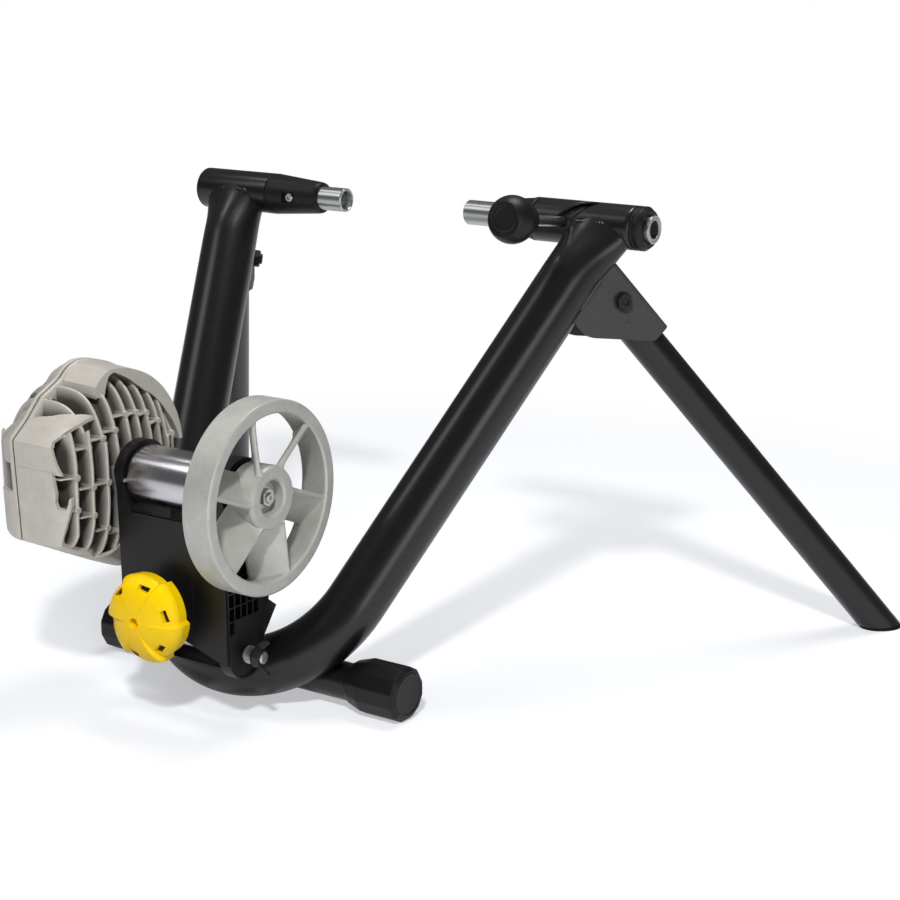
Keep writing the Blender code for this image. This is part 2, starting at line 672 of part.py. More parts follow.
def make_clamp():
    at = (0, AXLE_HEIGHT)
    left = empty("left_spindle_axis", (LEFT_TIP, 0, AXLE_HEIGHT), STAND)
    far = LEFT_TIP - LEFT_SPINDLE_LENGTH
    profile = cup_profile(LEFT_TIP, -1, far + 0.001) + [(far, SPINDLE_RADIUS - 0.001), (far, 0)]
    put("left_spindle", turned(profile, at), ZINC_PLATE, left)

    sleeve_low = LEVER_X - SLEEVE_LENGTH / 2
    sleeve_high = LEVER_X + SLEEVE_LENGTH / 2
    shoulder = CROSSBAR_RADIUS - CROSSBAR_WALL - 0.0015
    collar_start = RIGHT_BAR[1] + END_CAP_LENGTH + 2 * SEAT_GAP
    end = collar_start + COLLAR_LENGTH
    tail = SPINDLE_RADIUS - 0.0012
    groove = sleeve_high + RUNNING_GAP + 0.0025
    profile = cup_profile(RIGHT_TIP, 1, sleeve_low - 0.0065) + [
        (sleeve_low - 0.0065, shoulder), (sleeve_low - RUNNING_GAP, shoulder),
        (sleeve_low - RUNNING_GAP, SPINDLE_RADIUS),
        (groove - 0.0022, SPINDLE_RADIUS), (groove - 0.0022, tail), (groove, tail), (groove, SPINDLE_RADIUS),
        (collar_start, SPINDLE_RADIUS), (collar_start, tail), (end, tail), (end, SPINDLE_CUP_RADIUS),
        (end - 0.04, SPINDLE_CUP_RADIUS), (end - 0.044, 0),
    ]
    slide = empty("right_spindle_axis", (RIGHT_TIP, 0, AXLE_HEIGHT), STAND)
    put("right_spindle", turned(profile, at), ZINC_PLATE, slide)
    keeper = ring(groove - 0.0020, groove - 0.0004, tail + 0.0001, shoulder, at)
    opening = block(
        (groove - 0.01, -0.004, AXLE_HEIGHT - 0.03), (groove + 0.01, 0.004, AXLE_HEIGHT)
    )
    cut(put("sleeve_keeper_ring", keeper, BLACK_STEEL, slide), opening)
    collar_axis = empty("adjusting_collar_axis", (collar_start, 0, AXLE_HEIGHT), slide)
    inner = (tail + RUNNING_GAP) / math.cos(math.pi / SIDES)
    collar = [
        (collar_start + SEAT_GAP, inner), (collar_start + SEAT_GAP, COLLAR_RADIUS - 0.0012),
        (collar_start + 0.002, COLLAR_RADIUS - 0.0012), (collar_start + 0.0028, COLLAR_RADIUS),
        (end - 0.001, COLLAR_RADIUS), (end, COLLAR_RADIUS - 0.001), (end, inner),
    ]
    put("adjusting_collar", turned(collar, at), ZINC_PLATE, collar_axis)

    turn = empty("lever_axis", (LEVER_X, 0, AXLE_HEIGHT), slide)
    sleeve = put(
        "lever_sleeve",
        ring(sleeve_low, sleeve_high, SPINDLE_RADIUS + RUNNING_GAP, shoulder, at), BLACK_STEEL, turn,
    )
    outward = Matrix.Translation((LEVER_X, 0, AXLE_HEIGHT)) @ Matrix.Rotation(-LEVER_ANGLE, 4, "X")
    socket = bore(-0.02, -0.0125, LEVER_ROD_RADIUS + SEAT_GAP / 2, along="Y", sides=16)
    cut(sleeve, moved_by(socket, outward))
    knob_back = -(LEVER_KNOB_REACH - 0.0175)
    rod_shape = rod(knob_back - 0.012, -0.0128, LEVER_ROD_RADIUS, along="Y", sides=16)
    put("lever_rod", moved_by(rod_shape, outward), ZINC_PLATE, turn)
    ball = LEVER_KNOB_RADIUS
    centre = -LEVER_KNOB_REACH
    hole = (LEVER_ROD_RADIUS + SEAT_GAP) / math.cos(math.pi / 16)
    profile = [
        (knob_back - 0.0126, 0), (knob_back - 0.0126, hole), (knob_back, hole), (knob_back, 0.0105),
        (knob_back - 0.0018, 0.0112),
    ]
    profile += [(centre + ball * math.cos(t), ball * math.sin(t)) for t in
                (math.radians(v) for v in (38, 62, 88, 114, 137))]
    face = centre + ball * math.cos(math.radians(137))
    profile += [(face, 0.0125), (face + 0.0010, 0.0118), (face + 0.0010, 0)]
    put("lever_knob", moved_by(turned(profile, along="Y", sides=18), outward), BLACK_PLASTIC, turn)


# Legs and their brackets


def sided(shape, side):
    return shape if side > 0 else moved_by(shape, MIRROR)


def bracket_channel():
    """A bent channel: two cheeks beside the leg and a web over its outer side."""
    wide = BRACKET_INSIDE + BRACKET_GAUGE
    web = -(LEG_RADIUS + LEG_CLEARANCE + BRACKET_GAUGE)
    outline = [(place, web) for place in BRACKET_WEB_SPAN] + [BRACKET_REAR, *BRACKET_FRONT]
    outline = rounded(outline, (0, 0.003, 0.005, 0.008, 0.003, 0))
    shape = prism(outline, -wide, wide, "Z")
    lengthwise = [
        edge for edge in shape.edges
        if all(abs(vert.co.y - web) < 1e-6 for vert in edge.verts)
        and abs(edge.verts[0].co.z - edge.verts[1].co.z) < 1e-6
    ]
    bmesh.ops.bevel(shape, geom=lengthwise, offset=BRACKET_FOLD, segments=2, affect="EDGES", profile=0.5)
    return shape


def make_leg(side):
    word = "right" if side > 0 else "left"
    pivot = (LEG_PIVOT_DISTANCE, 0.0)
    wide = BRACKET_INSIDE + BRACKET_GAUGE
    place = LEG_PLACE if side > 0 else MIRROR @ LEG_PLACE

    def leg_part(shape):
        return moved_by(shape, place)

    bracket = put(f"{word}_leg_bracket", leg_part(bracket_channel()), BRACKET_PAINT)
    web_inside = -(LEG_RADIUS + LEG_CLEARANCE)
    cut(bracket, leg_part(block((-0.01, web_inside, -BRACKET_INSIDE), (0.12, 0.08, BRACKET_INSIDE))))
    reach = 0.12
    upright = [UPRIGHT_TOP, UPRIGHT_TOP + reach * UPRIGHT_DOWN]
    cope = (TUBE_RADIUS + SEAT_GAP) / math.cos(math.pi / COPE_SIDES)
    cut(bracket, sided(swept(upright, LEAN_REAR, [(cope, cope)] * 2, COPE_SIDES), side))
    cut(bracket, leg_part(bore(-0.03, 0.03, PIVOT_BOLT_RADIUS + RUNNING_GAP, pivot, "Z", 16)))
    cut(bracket, leg_part(bore(-0.03, 0, RIVET_RADIUS + SEAT_GAP, RIVET_PLACE, "Z", 16)))

    top = -wide - PIVOT_HEAD_HEIGHT
    end = wide + PIVOT_NUT_HEIGHT + 0.0018
    bolt = [
        (top, 0), (top, PIVOT_BOLT_RADIUS), (top + 0.0007, PIVOT_HEAD_ACROSS / 2 - 0.0003),
        (-wide - SEAT_GAP, PIVOT_HEAD_ACROSS / 2 + 0.0010), (-wide - SEAT_GAP, PIVOT_BOLT_RADIUS),
        (end - 0.0010, PIVOT_BOLT_RADIUS), (end, PIVOT_BOLT_RADIUS - 0.001), (end, 0),
    ]
    head = put(f"{word}_leg_pivot_bolt", leg_part(turned(bolt, pivot, "Z", 16)), BLACK_STEEL)
    hexed = prism(hexagon(PIVOT_HEAD_ACROSS, pivot), top + 0.0002, -wide - 2 * SEAT_GAP, "Z")
    join(head, leg_part(hexed))
    nut = prism(hexagon(PIVOT_NUT_ACROSS, pivot), wide + SEAT_GAP, wide + PIVOT_NUT_HEIGHT, "Z")
    nut = put(f"{word}_leg_pivot_nut", leg_part(nut), BLACK_STEEL)
    cut(nut, leg_part(bore(0, 0.04, PIVOT_BOLT_RADIUS + SEAT_GAP / 2, pivot, "Z", 16)))
    back = -LEG_RADIUS - 1.5 * SEAT_GAP
    rivet = [
        (-wide - 0.0004, 0), (-wide - 0.0004, RIVET_RADIUS - 0.0004), (-wide, RIVET_RADIUS),
        (-BRACKET_INSIDE + SEAT_GAP, RIVET_RADIUS), (-BRACKET_INSIDE + SEAT_GAP, RIVET_RADIUS + 0.0015),
        (back, RIVET_RADIUS + 0.0015), (back, 0),
    ]
    put(f"{word}_bracket_rivet", leg_part(turned(rivet, RIVET_PLACE, "Z", 16)), BRACKET_PAINT)

    fold = empty(f"{word}_leg_axis", place @ Vector((LEG_PIVOT_DISTANCE, 0, 0)), STAND)
    inner = LEG_RADIUS - LEG_WALL
    first, last = LEG_PIVOT_DISTANCE - LEG_RADIUS - 0.004, LEG_LENGTH + 0.03
    walls = turned([(first, inner), (first, LEG_RADIUS), (last, LEG_RADIUS), (last, inner)])
    tube = put(f"{word}_leg_tube", leg_part(walls), POWDER_COAT, fold)
    floor = block((-0.6, -0.2, -0.1), (0.6, 0.5, LEG_FOOT_HEIGHT + SEAT_GAP))
    cut(tube, floor)
    end_corner = [(-0.06, -0.06), (LEG_PIVOT_DISTANCE, -0.06)]
    end_corner += arc(pivot, LEG_RADIUS + 0.0002, -90, -270, 7) + [(LEG_PIVOT_DISTANCE, 0.06), (-0.06, 0.06)]
    cut(tube, leg_part(prism(end_corner, -0.05, 0.05, "Z")))
    cut(tube, leg_part(bore(-0.03, 0.03, PIVOT_BOLT_RADIUS + RUNNING_GAP, pivot, "Z", 16)))

    top = LEG_FOOT_HEIGHT
    outer = rod(LEG_LENGTH - 0.035, LEG_LENGTH + 0.035, LEG_RADIUS, sides=20)
    foot = put(f"{word}_leg_foot", leg_part(outer), BLACK_RUBBER, fold)
    cut(foot, block((-0.6, -0.2, top), (0.6, 0.5, 0.2)), block((-0.6, -0.2, -0.2), (0.6, 0.5, 0)))
    snug = inner * math.cos(math.pi / SIDES) - SEAT_GAP
    join(foot, leg_part(rod(LEG_LENGTH - 0.030, LEG_LENGTH + 0.03, snug, sides=12)))
    cut(foot, block((-0.6, -0.2, -0.2), (0.6, 0.5, 0)))


# Foot bar and caps


def make_foot_bar():
    at = (FOOT_BAR_Y, FOOT_BAR_HEIGHT)
    inner = FOOT_BAR_RADIUS - FOOT_BAR_WALL
    bar = put(
        "foot_bar", ring(-FOOT_BAR_HALF, FOOT_BAR_HALF, inner, FOOT_BAR_RADIUS, at), POWDER_COAT
    )
    path = frame_path()[3:-3]
    cope = TUBE_RADIUS + SEAT_GAP + 0.0002
    cut(bar, swept(path, LEAN_REAR, [(cope, cope)] * len(path)))
    cap_at = (FOOT_BAR_Y, FOOT_BAR_HEIGHT + CAP_ECCENTRICITY)
    for side, word in ((1, "right"), (-1, "left")):
        axis = empty(f"{word}_foot_cap_axis", (side * FOOT_CAP_END, *at), STAND)
        faces = FOOT_CAP_FACES
        high = FOOT_CAP_APOTHEM / math.cos(math.pi / faces)
        neck = FOOT_BAR_RADIUS + 0.0035
        rim = FOOT_CAP_END - 0.0012
        profile = [
            (FOOT_CAP_START, 0), (FOOT_CAP_START, neck), (FOOT_CAP_START + 0.004, neck + 0.001),
            (FOOT_CAP_START + 0.014, high), (FOOT_CAP_END - 0.003, high), (rim, high - 0.0022),
            (rim, high - 0.0050), (FOOT_CAP_END, high - 0.0056), (FOOT_CAP_END, 0),
        ]
        shape = turned(profile, cap_at, sides=faces, start=math.pi / faces)
        cap = put(f"{word}_foot_cap", sided(shape, side), BLACK_PLASTIC, axis)
        hollow = bore(FOOT_CAP_START - 0.01, FOOT_BAR_HALF + SEAT_GAP, FOOT_BAR_RADIUS + RUNNING_GAP, at)
        cut(cap, sided(hollow, side))


# Resistance unit


def yoke_outline(rear_low, front_low, shoulder, rear_high):
    """The side wall's outline: ear round the pivot, sloping front, ring round the roller's end."""
    pivot = (PIVOT_Y, PIVOT_Z)
    roller = (ROLLER_Y, ROLLER_Z)
    points = arc(pivot, YOKE_EAR_RADIUS, 170, 385, 8)
    points += [front_low, shoulder]
    points += arc(roller, YOKE_RING_RADIUS, 0, 180, 9)
    points += [(YOKE_REAR, rear_high), rear_low]
    return points


def make_unit():
    tilt = empty("unit_tilt_axis", (0, PIVOT_Y, PIVOT_Z), STAND)
    outline = yoke_outline(
        (YOKE_REAR, YOKE_WALL_SPAN[0]), (PIVOT_Y + 0.0169, PIVOT_Z + 0.0109),
        (ROLLER_Y + YOKE_RING_RADIUS, PIVOT_Z + 0.0424), ROLLER_Z - 0.012,
    )
    yoke = put("yoke", prism(outline, *YOKE_RIGHT), BLACK_PLASTIC, tilt)
    wall = block(
        (YOKE_LEFT[0] + 0.001, YOKE_REAR + 0.0001, YOKE_WALL_SPAN[0] + 0.0001),
        (YOKE_RIGHT[1] - 0.001, YOKE_REAR + YOKE_WALL, YOKE_WALL_SPAN[1]),
    )
    seat = rod(YOKE_REAR + 0.001, YOKE_REAR + 0.0095, SEAT_BOSS_RADIUS, (TENSION_X, TRUNNION_Z), "Y", 20)
    join(yoke, wall, prism(outline, *YOKE_LEFT), seat)
    roller = (ROLLER_Y, ROLLER_Z)
    pivot = (PIVOT_Y, PIVOT_Z)
    cut(yoke, bore(-0.08, 0.08, PIVOT_ROD_RADIUS + RUNNING_GAP, pivot, sides=16))
    cut(yoke, bore(-0.08, 0.08, SHAFT_RADIUS + 0.0015, roller, sides=16))
    pocket = BEARING_RADIUS + SEAT_GAP / 2
    cut(yoke, bore(YOKE_LEFT[0] - 0.01, YOKE_LEFT[0] + BEARING_WIDTH + SEAT_GAP, pocket, roller))
    cut(yoke, bore(YOKE_RIGHT[1] - BEARING_WIDTH - SEAT_GAP, YOKE_RIGHT[1] + 0.01, pocket, roller))
    cut(yoke, bore(YOKE_REAR - 0.02, YOKE_REAR + 0.02, ROD_HOLE_RADIUS, (TENSION_X, TRUNNION_Z), "Y", 16))
    cut(yoke, ball_cutter((TENSION_X, SEAT_Y, TRUNNION_Z), SEAT_RADIUS + SEAT_GAP))
    cut(yoke, lattice_pockets())

    for word, low in (("left", YOKE_LEFT[0]), ("right", YOKE_RIGHT[1] - BEARING_WIDTH)):
        bearing = ring(low, low + BEARING_WIDTH, SHAFT_RADIUS + RUNNING_GAP, BEARING_RADIUS, roller)
        put(f"{word}_bearing", bearing, ZINC_PLATE, tilt)
    return tilt


def ball_cutter(centre, radius, around=16, rings=8):
    """A faceted ball whose flats, not its corners, lie at the radius."""
    radius = radius / (math.cos(math.pi / around) * math.cos(math.pi / (2 * rings)))
    profile = [
        (centre[0] + radius * math.cos(t), radius * math.sin(t) if 0 < k < rings else 0.0)
        for k, t in ((k, math.pi * k / rings) for k in range(rings + 1))
    ]
    return turned(profile, (centre[1], centre[2]), sides=around)


def lattice_pockets():
    """Rows of square pockets in the outer face of the right side wall, thin ribs between them."""
    pockets = bmesh.new()
    for row in range(POCKET_ROWS):
        z = YOKE_WALL_SPAN[0] + 0.0045 + row * POCKET_PITCH
        for column in range(POCKET_COLUMNS):
            y = YOKE_REAR + 0.003 + column * POCKET_PITCH
            low = (YOKE_RIGHT[1] - POCKET_DEPTH, y, z)
            high = (YOKE_RIGHT[1] + 0.004, y + POCKET_PITCH - POCKET_RIB, z + POCKET_PITCH - POCKET_RIB)
            nearest = math.hypot(y + POCKET_PITCH / 2 - PIVOT_Y, z - PIVOT_Z)
            if nearest > YOKE_EAR_RADIUS + 0.003:
                add_shape(pockets, block(low, high))
    return pockets


def make_rotor(tilt):
    spin = empty("rotor_axis", (0, ROLLER_Y, ROLLER_Z), tilt)
    at = (ROLLER_Y, ROLLER_Z)
    start = SEAM_X - 0.010
    nut_low = FLYWHEEL_SPAN[1] - 0.0085
    stub, end = SHAFT_RADIUS - 0.002, FLYWHEEL_SPAN[1] - 0.0008
    shaft = [
        (start, 0), (start, SHAFT_RADIUS), (nut_low - 0.0012, SHAFT_RADIUS), (nut_low - 0.0012, stub),
        (end - 0.0007, stub), (end, stub - 0.0008), (end, 0),
    ]
    put("roller_shaft", turned(shaft, at), ZINC_PLATE, spin)
    snug = (SHAFT_RADIUS + SEAT_GAP) / math.cos(math.pi / SIDES)
    low, high = ROLLER_SPAN
    edge = 0.0008
    profile = [
        (low + 0.003, snug), (low, 0.021), (low, ROLLER_RADIUS - edge), (low + edge, ROLLER_RADIUS),
        (high - edge, ROLLER_RADIUS), (high, ROLLER_RADIUS - edge), (high, 0.021), (high - 0.003, snug),
    ]
    put("roller", turned(profile, at, sides=26), POLISHED, spin)

    low, high = FLYWHEEL_SPAN
    inner = FLYWHEEL_RADIUS - FLYWHEEL_RIM
    rim = [
        (low, inner + 0.001), (low, FLYWHEEL_RADIUS - 0.002), (low + 0.002, FLYWHEEL_RADIUS),
        (high - 0.0025, FLYWHEEL_RADIUS), (high, FLYWHEEL_RADIUS - 0.0025), (high, inner + 0.0015),
        (high - 0.004, inner),
    ]
    flywheel = put("flywheel", turned(rim, at, sides=36), CAST_IRON, spin)
    hub_front = high - 0.0010
    recess = hub_front - 0.0085
    hub = [
        (low + 0.001, snug), (low + 0.001, FLYWHEEL_HUB), (hub_front - 0.0015, FLYWHEEL_HUB),
        (hub_front, FLYWHEEL_HUB - 0.0015), (hub_front, 0.0150), (recess, 0.0140), (recess, snug),
    ]
    join(flywheel, turned(hub, at), blades())
    washer = ring(recess + SEAT_GAP, recess + 0.0015, stub + 0.0005, NUT_ACROSS / 2 + 0.0020, at)
    put("flywheel_washer", washer, ZINC_PLATE, spin)
    nut = put(
        "flywheel_nut",
        prism(hexagon(NUT_ACROSS, at), recess + 0.0018, recess + 0.0072), ZINC_PLATE, spin,
    )
    cut(nut, bore(recess - 0.01, recess + 0.02, stub + SEAT_GAP, at))

    low, high = SEAM_X - 0.0085, SEAM_X + 0.012
    disc = (SEAM_X, SEAM_X + 0.0025)
    tip = CAVITY_RADIUS - 0.004
    profile = [
        (low, snug), (low, 0.012), (disc[0], 0.012), (disc[0], tip), (disc[1], tip), (disc[1], 0.012),
        (high, 0.012), (high, snug),
    ]
    impeller = put("impeller", turned(profile, at), CAST_ALUMINIUM, spin)
    vanes = bmesh.new()
    for step in range(IMPELLER_VANES):
        vane = block((SEAM_X - 0.007, -0.0012, 0.0105), (SEAM_X + 0.0105, 0.0012, tip - 0.0015))
        turn = Matrix.Rotation(math.tau * (step + 0.3) / IMPELLER_VANES, 3, "X")
        bmesh.ops.rotate(vane, verts=vane.verts, matrix=turn)
        bmesh.ops.translate(vane, verts=vane.verts, vec=(0, *at))
        add_shape(vanes, vane)
    join(impeller, vanes)
    return spin


def add_shape(target, shape):
    """Puts one bmesh's faces into another."""
    carried = bpy.data.meshes.new("carried")
    shape.to_mesh(carried)
    shape.free()
    target.from_mesh(carried)
    bpy.data.meshes.remove(carried)


def blades():
    """Six fan blades, each a thin helicoid from the hub into the rim, leaning back as it goes inward."""
    low, high = FLYWHEEL_SPAN[0] + 0.0015, FLYWHEEL_SPAN[1] - 0.0016
    radii = [FLYWHEEL_HUB - 0.0015, FLYWHEEL_RADIUS - FLYWHEEL_RIM + 0.0015]
    steps = BLADE_STEPS
    slope = BLADE_TWIST / (high - low)
    made = bmesh.new()
    for blade in range(FLYWHEEL_BLADES):
        start = BLADE_FRONT_ANGLE + math.tau * blade / FLYWHEEL_BLADES
        faces_of = []
        for radius in radii:
            lean = math.cos(math.atan(radius * slope))
            half = BLADE_THICKNESS / (2 * radius * lean)
            loop = []
            for step in range(steps + 1):
                x = high - (high - low) * step / steps
                angle = start - slope * (high - x)
                loop.append((x, angle + half))
            back = [(x, angle - 2 * half) for x, angle in reversed(loop)]
            spots = [
                made.verts.new((x, ROLLER_Y + radius * math.cos(a), ROLLER_Z + radius * math.sin(a)))
                for x, a in loop + back
            ]
            faces_of.append(spots)
        count = len(faces_of[0])
        for first, second in zip(faces_of, faces_of[1:]):
            for k in range(count):
                after = (k + 1) % count
                made.faces.new((first[k], first[after], second[after], second[k]))
        for spots in (faces_of[0], faces_of[-1]):
            for k in range(count // 2 - 1):
                made.faces.new((spots[k], spots[k + 1], spots[count - 2 - k], spots[count - 1 - k]))
    bmesh.ops.recalc_face_normals(made, faces=made.faces)
    return made


# Fluid chamber housing


def dome_radius(x):
    """Radius of the inner half's rounded envelope at x, and of the outer half's cone past the seam."""
    if x <= SEAM_X:
        share = min(1.0, (SEAM_X - x) / (SEAM_X - HOUSING_OUTER_X))
        return DOME_RADIUS - (DOME_RADIUS - OUTER_END_RADIUS) * share**1.6
    start = SEAM_X + 0.006
    if x <= start:
        return DOME_RADIUS
    share = min(1.0, (x - start) / (HOUSING_FLAT_X - start))
    return HOUSING_FLAT_RADIUS + (DOME_RADIUS - HOUSING_FLAT_RADIUS) * math.sqrt(1 - share**2)


def fin(offset, stations, flat_radius):
    """One upright cooling fin: the envelope's section at a sideways offset, carried through its thickness."""
    heights = []
    for x in stations:
        radius = dome_radius(x)
        if radius > abs(offset) + 0.004:
            heights.append((x, math.sqrt(radius**2 - offset**2)))
    if flat_radius > abs(offset):
        x = stations[-1]
        end = x + math.copysign(1e-4, x - stations[0])
        heights.append((end, math.sqrt(flat_radius**2 - offset**2) * 0.97))
    outline = [(x, ROLLER_Z + height) for x, height in heights]
    outline += [(x, ROLLER_Z - height) for x, height in reversed(heights)]
    middle = ROLLER_Y + offset
    return prism(outline, middle - FIN_THICKNESS / 2, middle + FIN_THICKNESS / 2, "Y")


def wrapped_panel(outline):
    """A piece of the envelope's shell. The outline is drawn flat, as (x, angle in degrees above the rear)."""
    shape = bmesh.new()
    shape.faces.new([shape.verts.new((x, math.radians(angle), 0)) for x, angle in outline])
    angles = [angle for _, angle in outline]
    places = [x for x, _ in outline]
    lines = []
    step = math.ceil(min(angles) / PANEL_TURN) * PANEL_TURN + PANEL_SHIFT
    while step < max(angles):
        lines.append(((0, math.radians(step), 0), (0, 1, 0)))
        step += PANEL_TURN
    step = math.ceil(min(places) / PANEL_GRID) * PANEL_GRID
    while step < max(places):
        lines.append(((step, 0, 0), (1, 0, 0)))
        step += PANEL_GRID
    for place, normal in lines:
        geometry = shape.verts[:] + shape.edges[:] + shape.faces[:]
        bmesh.ops.bisect_plane(shape, geom=geometry, plane_co=place, plane_no=normal)
    lifted = bmesh.ops.extrude_face_region(shape, geom=shape.faces[:])["geom"]
    moved = [item for item in lifted if isinstance(item, bmesh.types.BMVert)]
    bmesh.ops.translate(shape, verts=moved, vec=(0, 0, 1))
    for vert in shape.verts:
        x, angle, lift = vert.co
        radius = dome_radius(x) + PANEL_PROUD * lift - PANEL_THICKNESS * (1 - lift)
        vert.co = (x, ROLLER_Y - radius * math.cos(angle), ROLLER_Z + radius * math.sin(angle))
    bmesh.ops.triangulate(shape, faces=shape.faces)
    bmesh.ops.recalc_face_normals(shape, faces=shape.faces)
    return shape


INNER_SEAM = SEAM_X + SEAM_GAP / 2
OUTER_SEAM = SEAM_X - SEAM_GAP / 2
INNER_START = INNER_SEAM + 0.002
OUTER_START = OUTER_SEAM - 0.002
INNER_PANELS = (
    # upper claw
    [(INNER_START, 11.5), (-0.080, 8.6), (-0.0747, 8), (-0.079, 15), (-0.0838, 23), (-0.0845, 30),
     (-0.0754, 43), (-0.0706, 55), (-0.080, 49), (-0.105, 43), (INNER_START, 39)],
    # lower claw
    [(INNER_START, -44), (-0.099, -52), (-0.086, -59), (-0.0803, -61), (-0.0873, -43), (-0.0784, -28),
     (-0.0708, -11), (-0.0761, -16), (-0.0799, -13), (-0.0794, 0), (-0.0812, 6), (INNER_START, 8)],
    # top block and roof band
    [(INNER_START, 61), (-0.101, 62), (-0.0755, 77), (-0.0945, 95), (-0.086, 118), (-0.087, 150),
     (-0.096, 170), (INNER_START, 174)],
    # bottom panel
    [(INNER_START, -102), (-0.088, -102), (-0.0715, -66), (-0.079, -66.5), (-0.100, -60), (INNER_START, -53)],
)
OUTER_PANELS = (
    [(OUTER_START, 10), (-0.150, 12), (-0.156, 26), (-0.148, 46), (OUTER_START, 46)],
    [(OUTER_START, -44), (-0.146, -42), (-0.156, -30), (-0.148, -8), (OUTER_START, -10)],
)


def housing_half(name, drum, stations, flat_radius, panels, tilt):
    """A solid drum, its fins and the shell panels over them; its hollow is cut afterwards."""
    half = put(name, turned(drum, (ROLLER_Y, ROLLER_Z), sides=24), CAST_ALUMINIUM, tilt)
    fins = bmesh.new()
    for index in range(FIN_COUNT):
        add_shape(fins, fin(FIN_FIRST + index * FIN_PITCH, stations, flat_radius))
    join(half, fins)
    for outline in panels:
        join(half, wrapped_panel(outline))
    return half


def hollow(profile, sides=16):
    """A turned cutter whose flats lie at the profile's radii."""
    wider = 1 / math.cos(math.pi / sides)
    outline = [(x, radius * wider) for x, radius in profile]
    return turned(outline, (ROLLER_Y, ROLLER_Z), sides=sides, start=CUTTER_TURN)


def make_housing(tilt):
    at = (ROLLER_Y, ROLLER_Z)
    passing = SHAFT_RADIUS + 0.0006
    face = YOKE_LEFT[0] - SEAT_GAP
    lip = HOUSING_RADIUS - HOUSING_LIP
    drum = [
        (INNER_SEAM, 0), (INNER_SEAM, lip), (INNER_SEAM + FLANGE, lip), (INNER_SEAM + FLANGE, CORE_RADIUS),
        (CORE_STEP_X, CORE_RADIUS - 0.003), (CORE_FACE_X, CORE_FACE_RADIUS), (CORE_FACE_X, NECK_RADIUS),
        (face, NECK_RADIUS), (face, 0),
    ]
    first = INNER_SEAM + 0.003
    stations = [first + (HOUSING_FLAT_X - first) * s for s in (0.0, 0.5, 0.8, 1.0)]
    inner = housing_half("inner_housing", drum, stations, HOUSING_FLAT_RADIUS, INNER_PANELS, tilt)
    drum = [
        (OUTER_SEAM, 0), (OUTER_SEAM, HOUSING_RADIUS), (OUTER_SEAM - FLANGE, HOUSING_RADIUS),
        (OUTER_SEAM - FLANGE, CORE_RADIUS), (OUTER_CORE_STEP_X, CORE_RADIUS - 0.008),
        (OUTER_CORE_FACE_X, HOUSING_FLAT_RADIUS), (OUTER_CORE_FACE_X, 0),
    ]
    first = OUTER_SEAM - 0.003
    stations = [first + (HOUSING_OUTER_X - first) * s for s in (0.0, 0.35, 0.7, 1.0)]
    outer = housing_half("outer_housing", drum, stations, OUTER_FLAT_RADIUS, OUTER_PANELS, tilt)
    spots = []
    for gap in (SCREW_FIN_GAP, FIN_COUNT - 2 - SCREW_FIN_GAP):
        offset = FIN_FIRST + (gap + 0.5) * FIN_PITCH
        for way in (1, -1):
            height = way * math.sqrt(SCREW_CIRCLE**2 - offset**2)
            spots.append((ROLLER_Y + offset, ROLLER_Z + height))
    for spot in spots:
        inner_post = rod(INNER_SEAM + 0.001, INNER_SEAM + POST_HEIGHT, SCREW_POST, spot, sides=8, start=0.2)
        outer_post = rod(OUTER_SEAM - POST_HEIGHT, OUTER_SEAM - 0.001, SCREW_POST, spot, sides=8, start=0.2)
        join(inner, inner_post)
        join(outer, outer_post)
    cut(inner, hollow([
        (INNER_SEAM - 0.002, 0), (INNER_SEAM - 0.002, CAVITY_RADIUS), (CAVITY_SHOULDER_X, CAVITY_RADIUS),
        (CAVITY_FACE_X, CAVITY_RADIUS - CAVITY_CORNER), (CAVITY_FACE_X, SEAL_RADIUS), (SEAL_X, SEAL_RADIUS),
        (SEAL_X, passing), (face + 0.01, passing), (face + 0.01, 0),
    ]))
    cut(outer, hollow([
        (OUTER_SEAM + 0.002, 0), (OUTER_SEAM + 0.002, CAVITY_RADIUS),
        (OUTER_CAVITY_SHOULDER_X, CAVITY_RADIUS), (OUTER_CAVITY_FACE_X, CAVITY_RADIUS - 0.008),
        (OUTER_CAVITY_FACE_X, 0),
    ]))
    gasket = ring(
        OUTER_SEAM + SEAT_GAP, INNER_SEAM - SEAT_GAP, CAVITY_RADIUS + 0.0005, GASKET_RADIUS, at, sides=24
    )
    put("housing_gasket", gasket, BLACK_RUBBER, tilt)
    seal_low, seal_high = CAVITY_FACE_X + 2 * SEAT_GAP, SEAL_X - 0.0005
    seal = [
        (seal_low, SHAFT_RADIUS + 0.0015), (seal_low, SEAL_RADIUS - SEAT_GAP),
        (seal_high, SEAL_RADIUS - SEAT_GAP), (seal_high, SHAFT_RADIUS + 0.0003),
    ]
    put("shaft_seal", turned(seal, at), BLACK_RUBBER, tilt)
    hole = SCREW_RADIUS + SEAT_GAP
    for index, spot in enumerate(spots):
        cut(inner, bore(SEAM_X - 0.01, INNER_SEAM + SCREW_REACH + 0.001, hole, spot, sides=8))
        cut(outer, bore(OUTER_SEAM - SCREW_DEPTH - 0.0005, SEAM_X, hole, spot, sides=8))
        cut(outer, bore(-0.20, OUTER_SEAM - SCREW_DEPTH, SCREW_HEAD_RADIUS + 0.0004, spot, sides=8))
        head = OUTER_SEAM - SCREW_DEPTH - SEAT_GAP
        top = head - SCREW_HEAD_HEIGHT
        screw = [
            (top, 0), (top, SCREW_HEAD_RADIUS), (head, SCREW_HEAD_RADIUS), (head, SCREW_RADIUS),
            (INNER_SEAM + SCREW_REACH, SCREW_RADIUS), (INNER_SEAM + SCREW_REACH, 0),
        ]
        put(f"housing_screw_{index + 1}", turned(screw, spot, sides=8), ZINC_PLATE, tilt)


# Tension screw and pivot


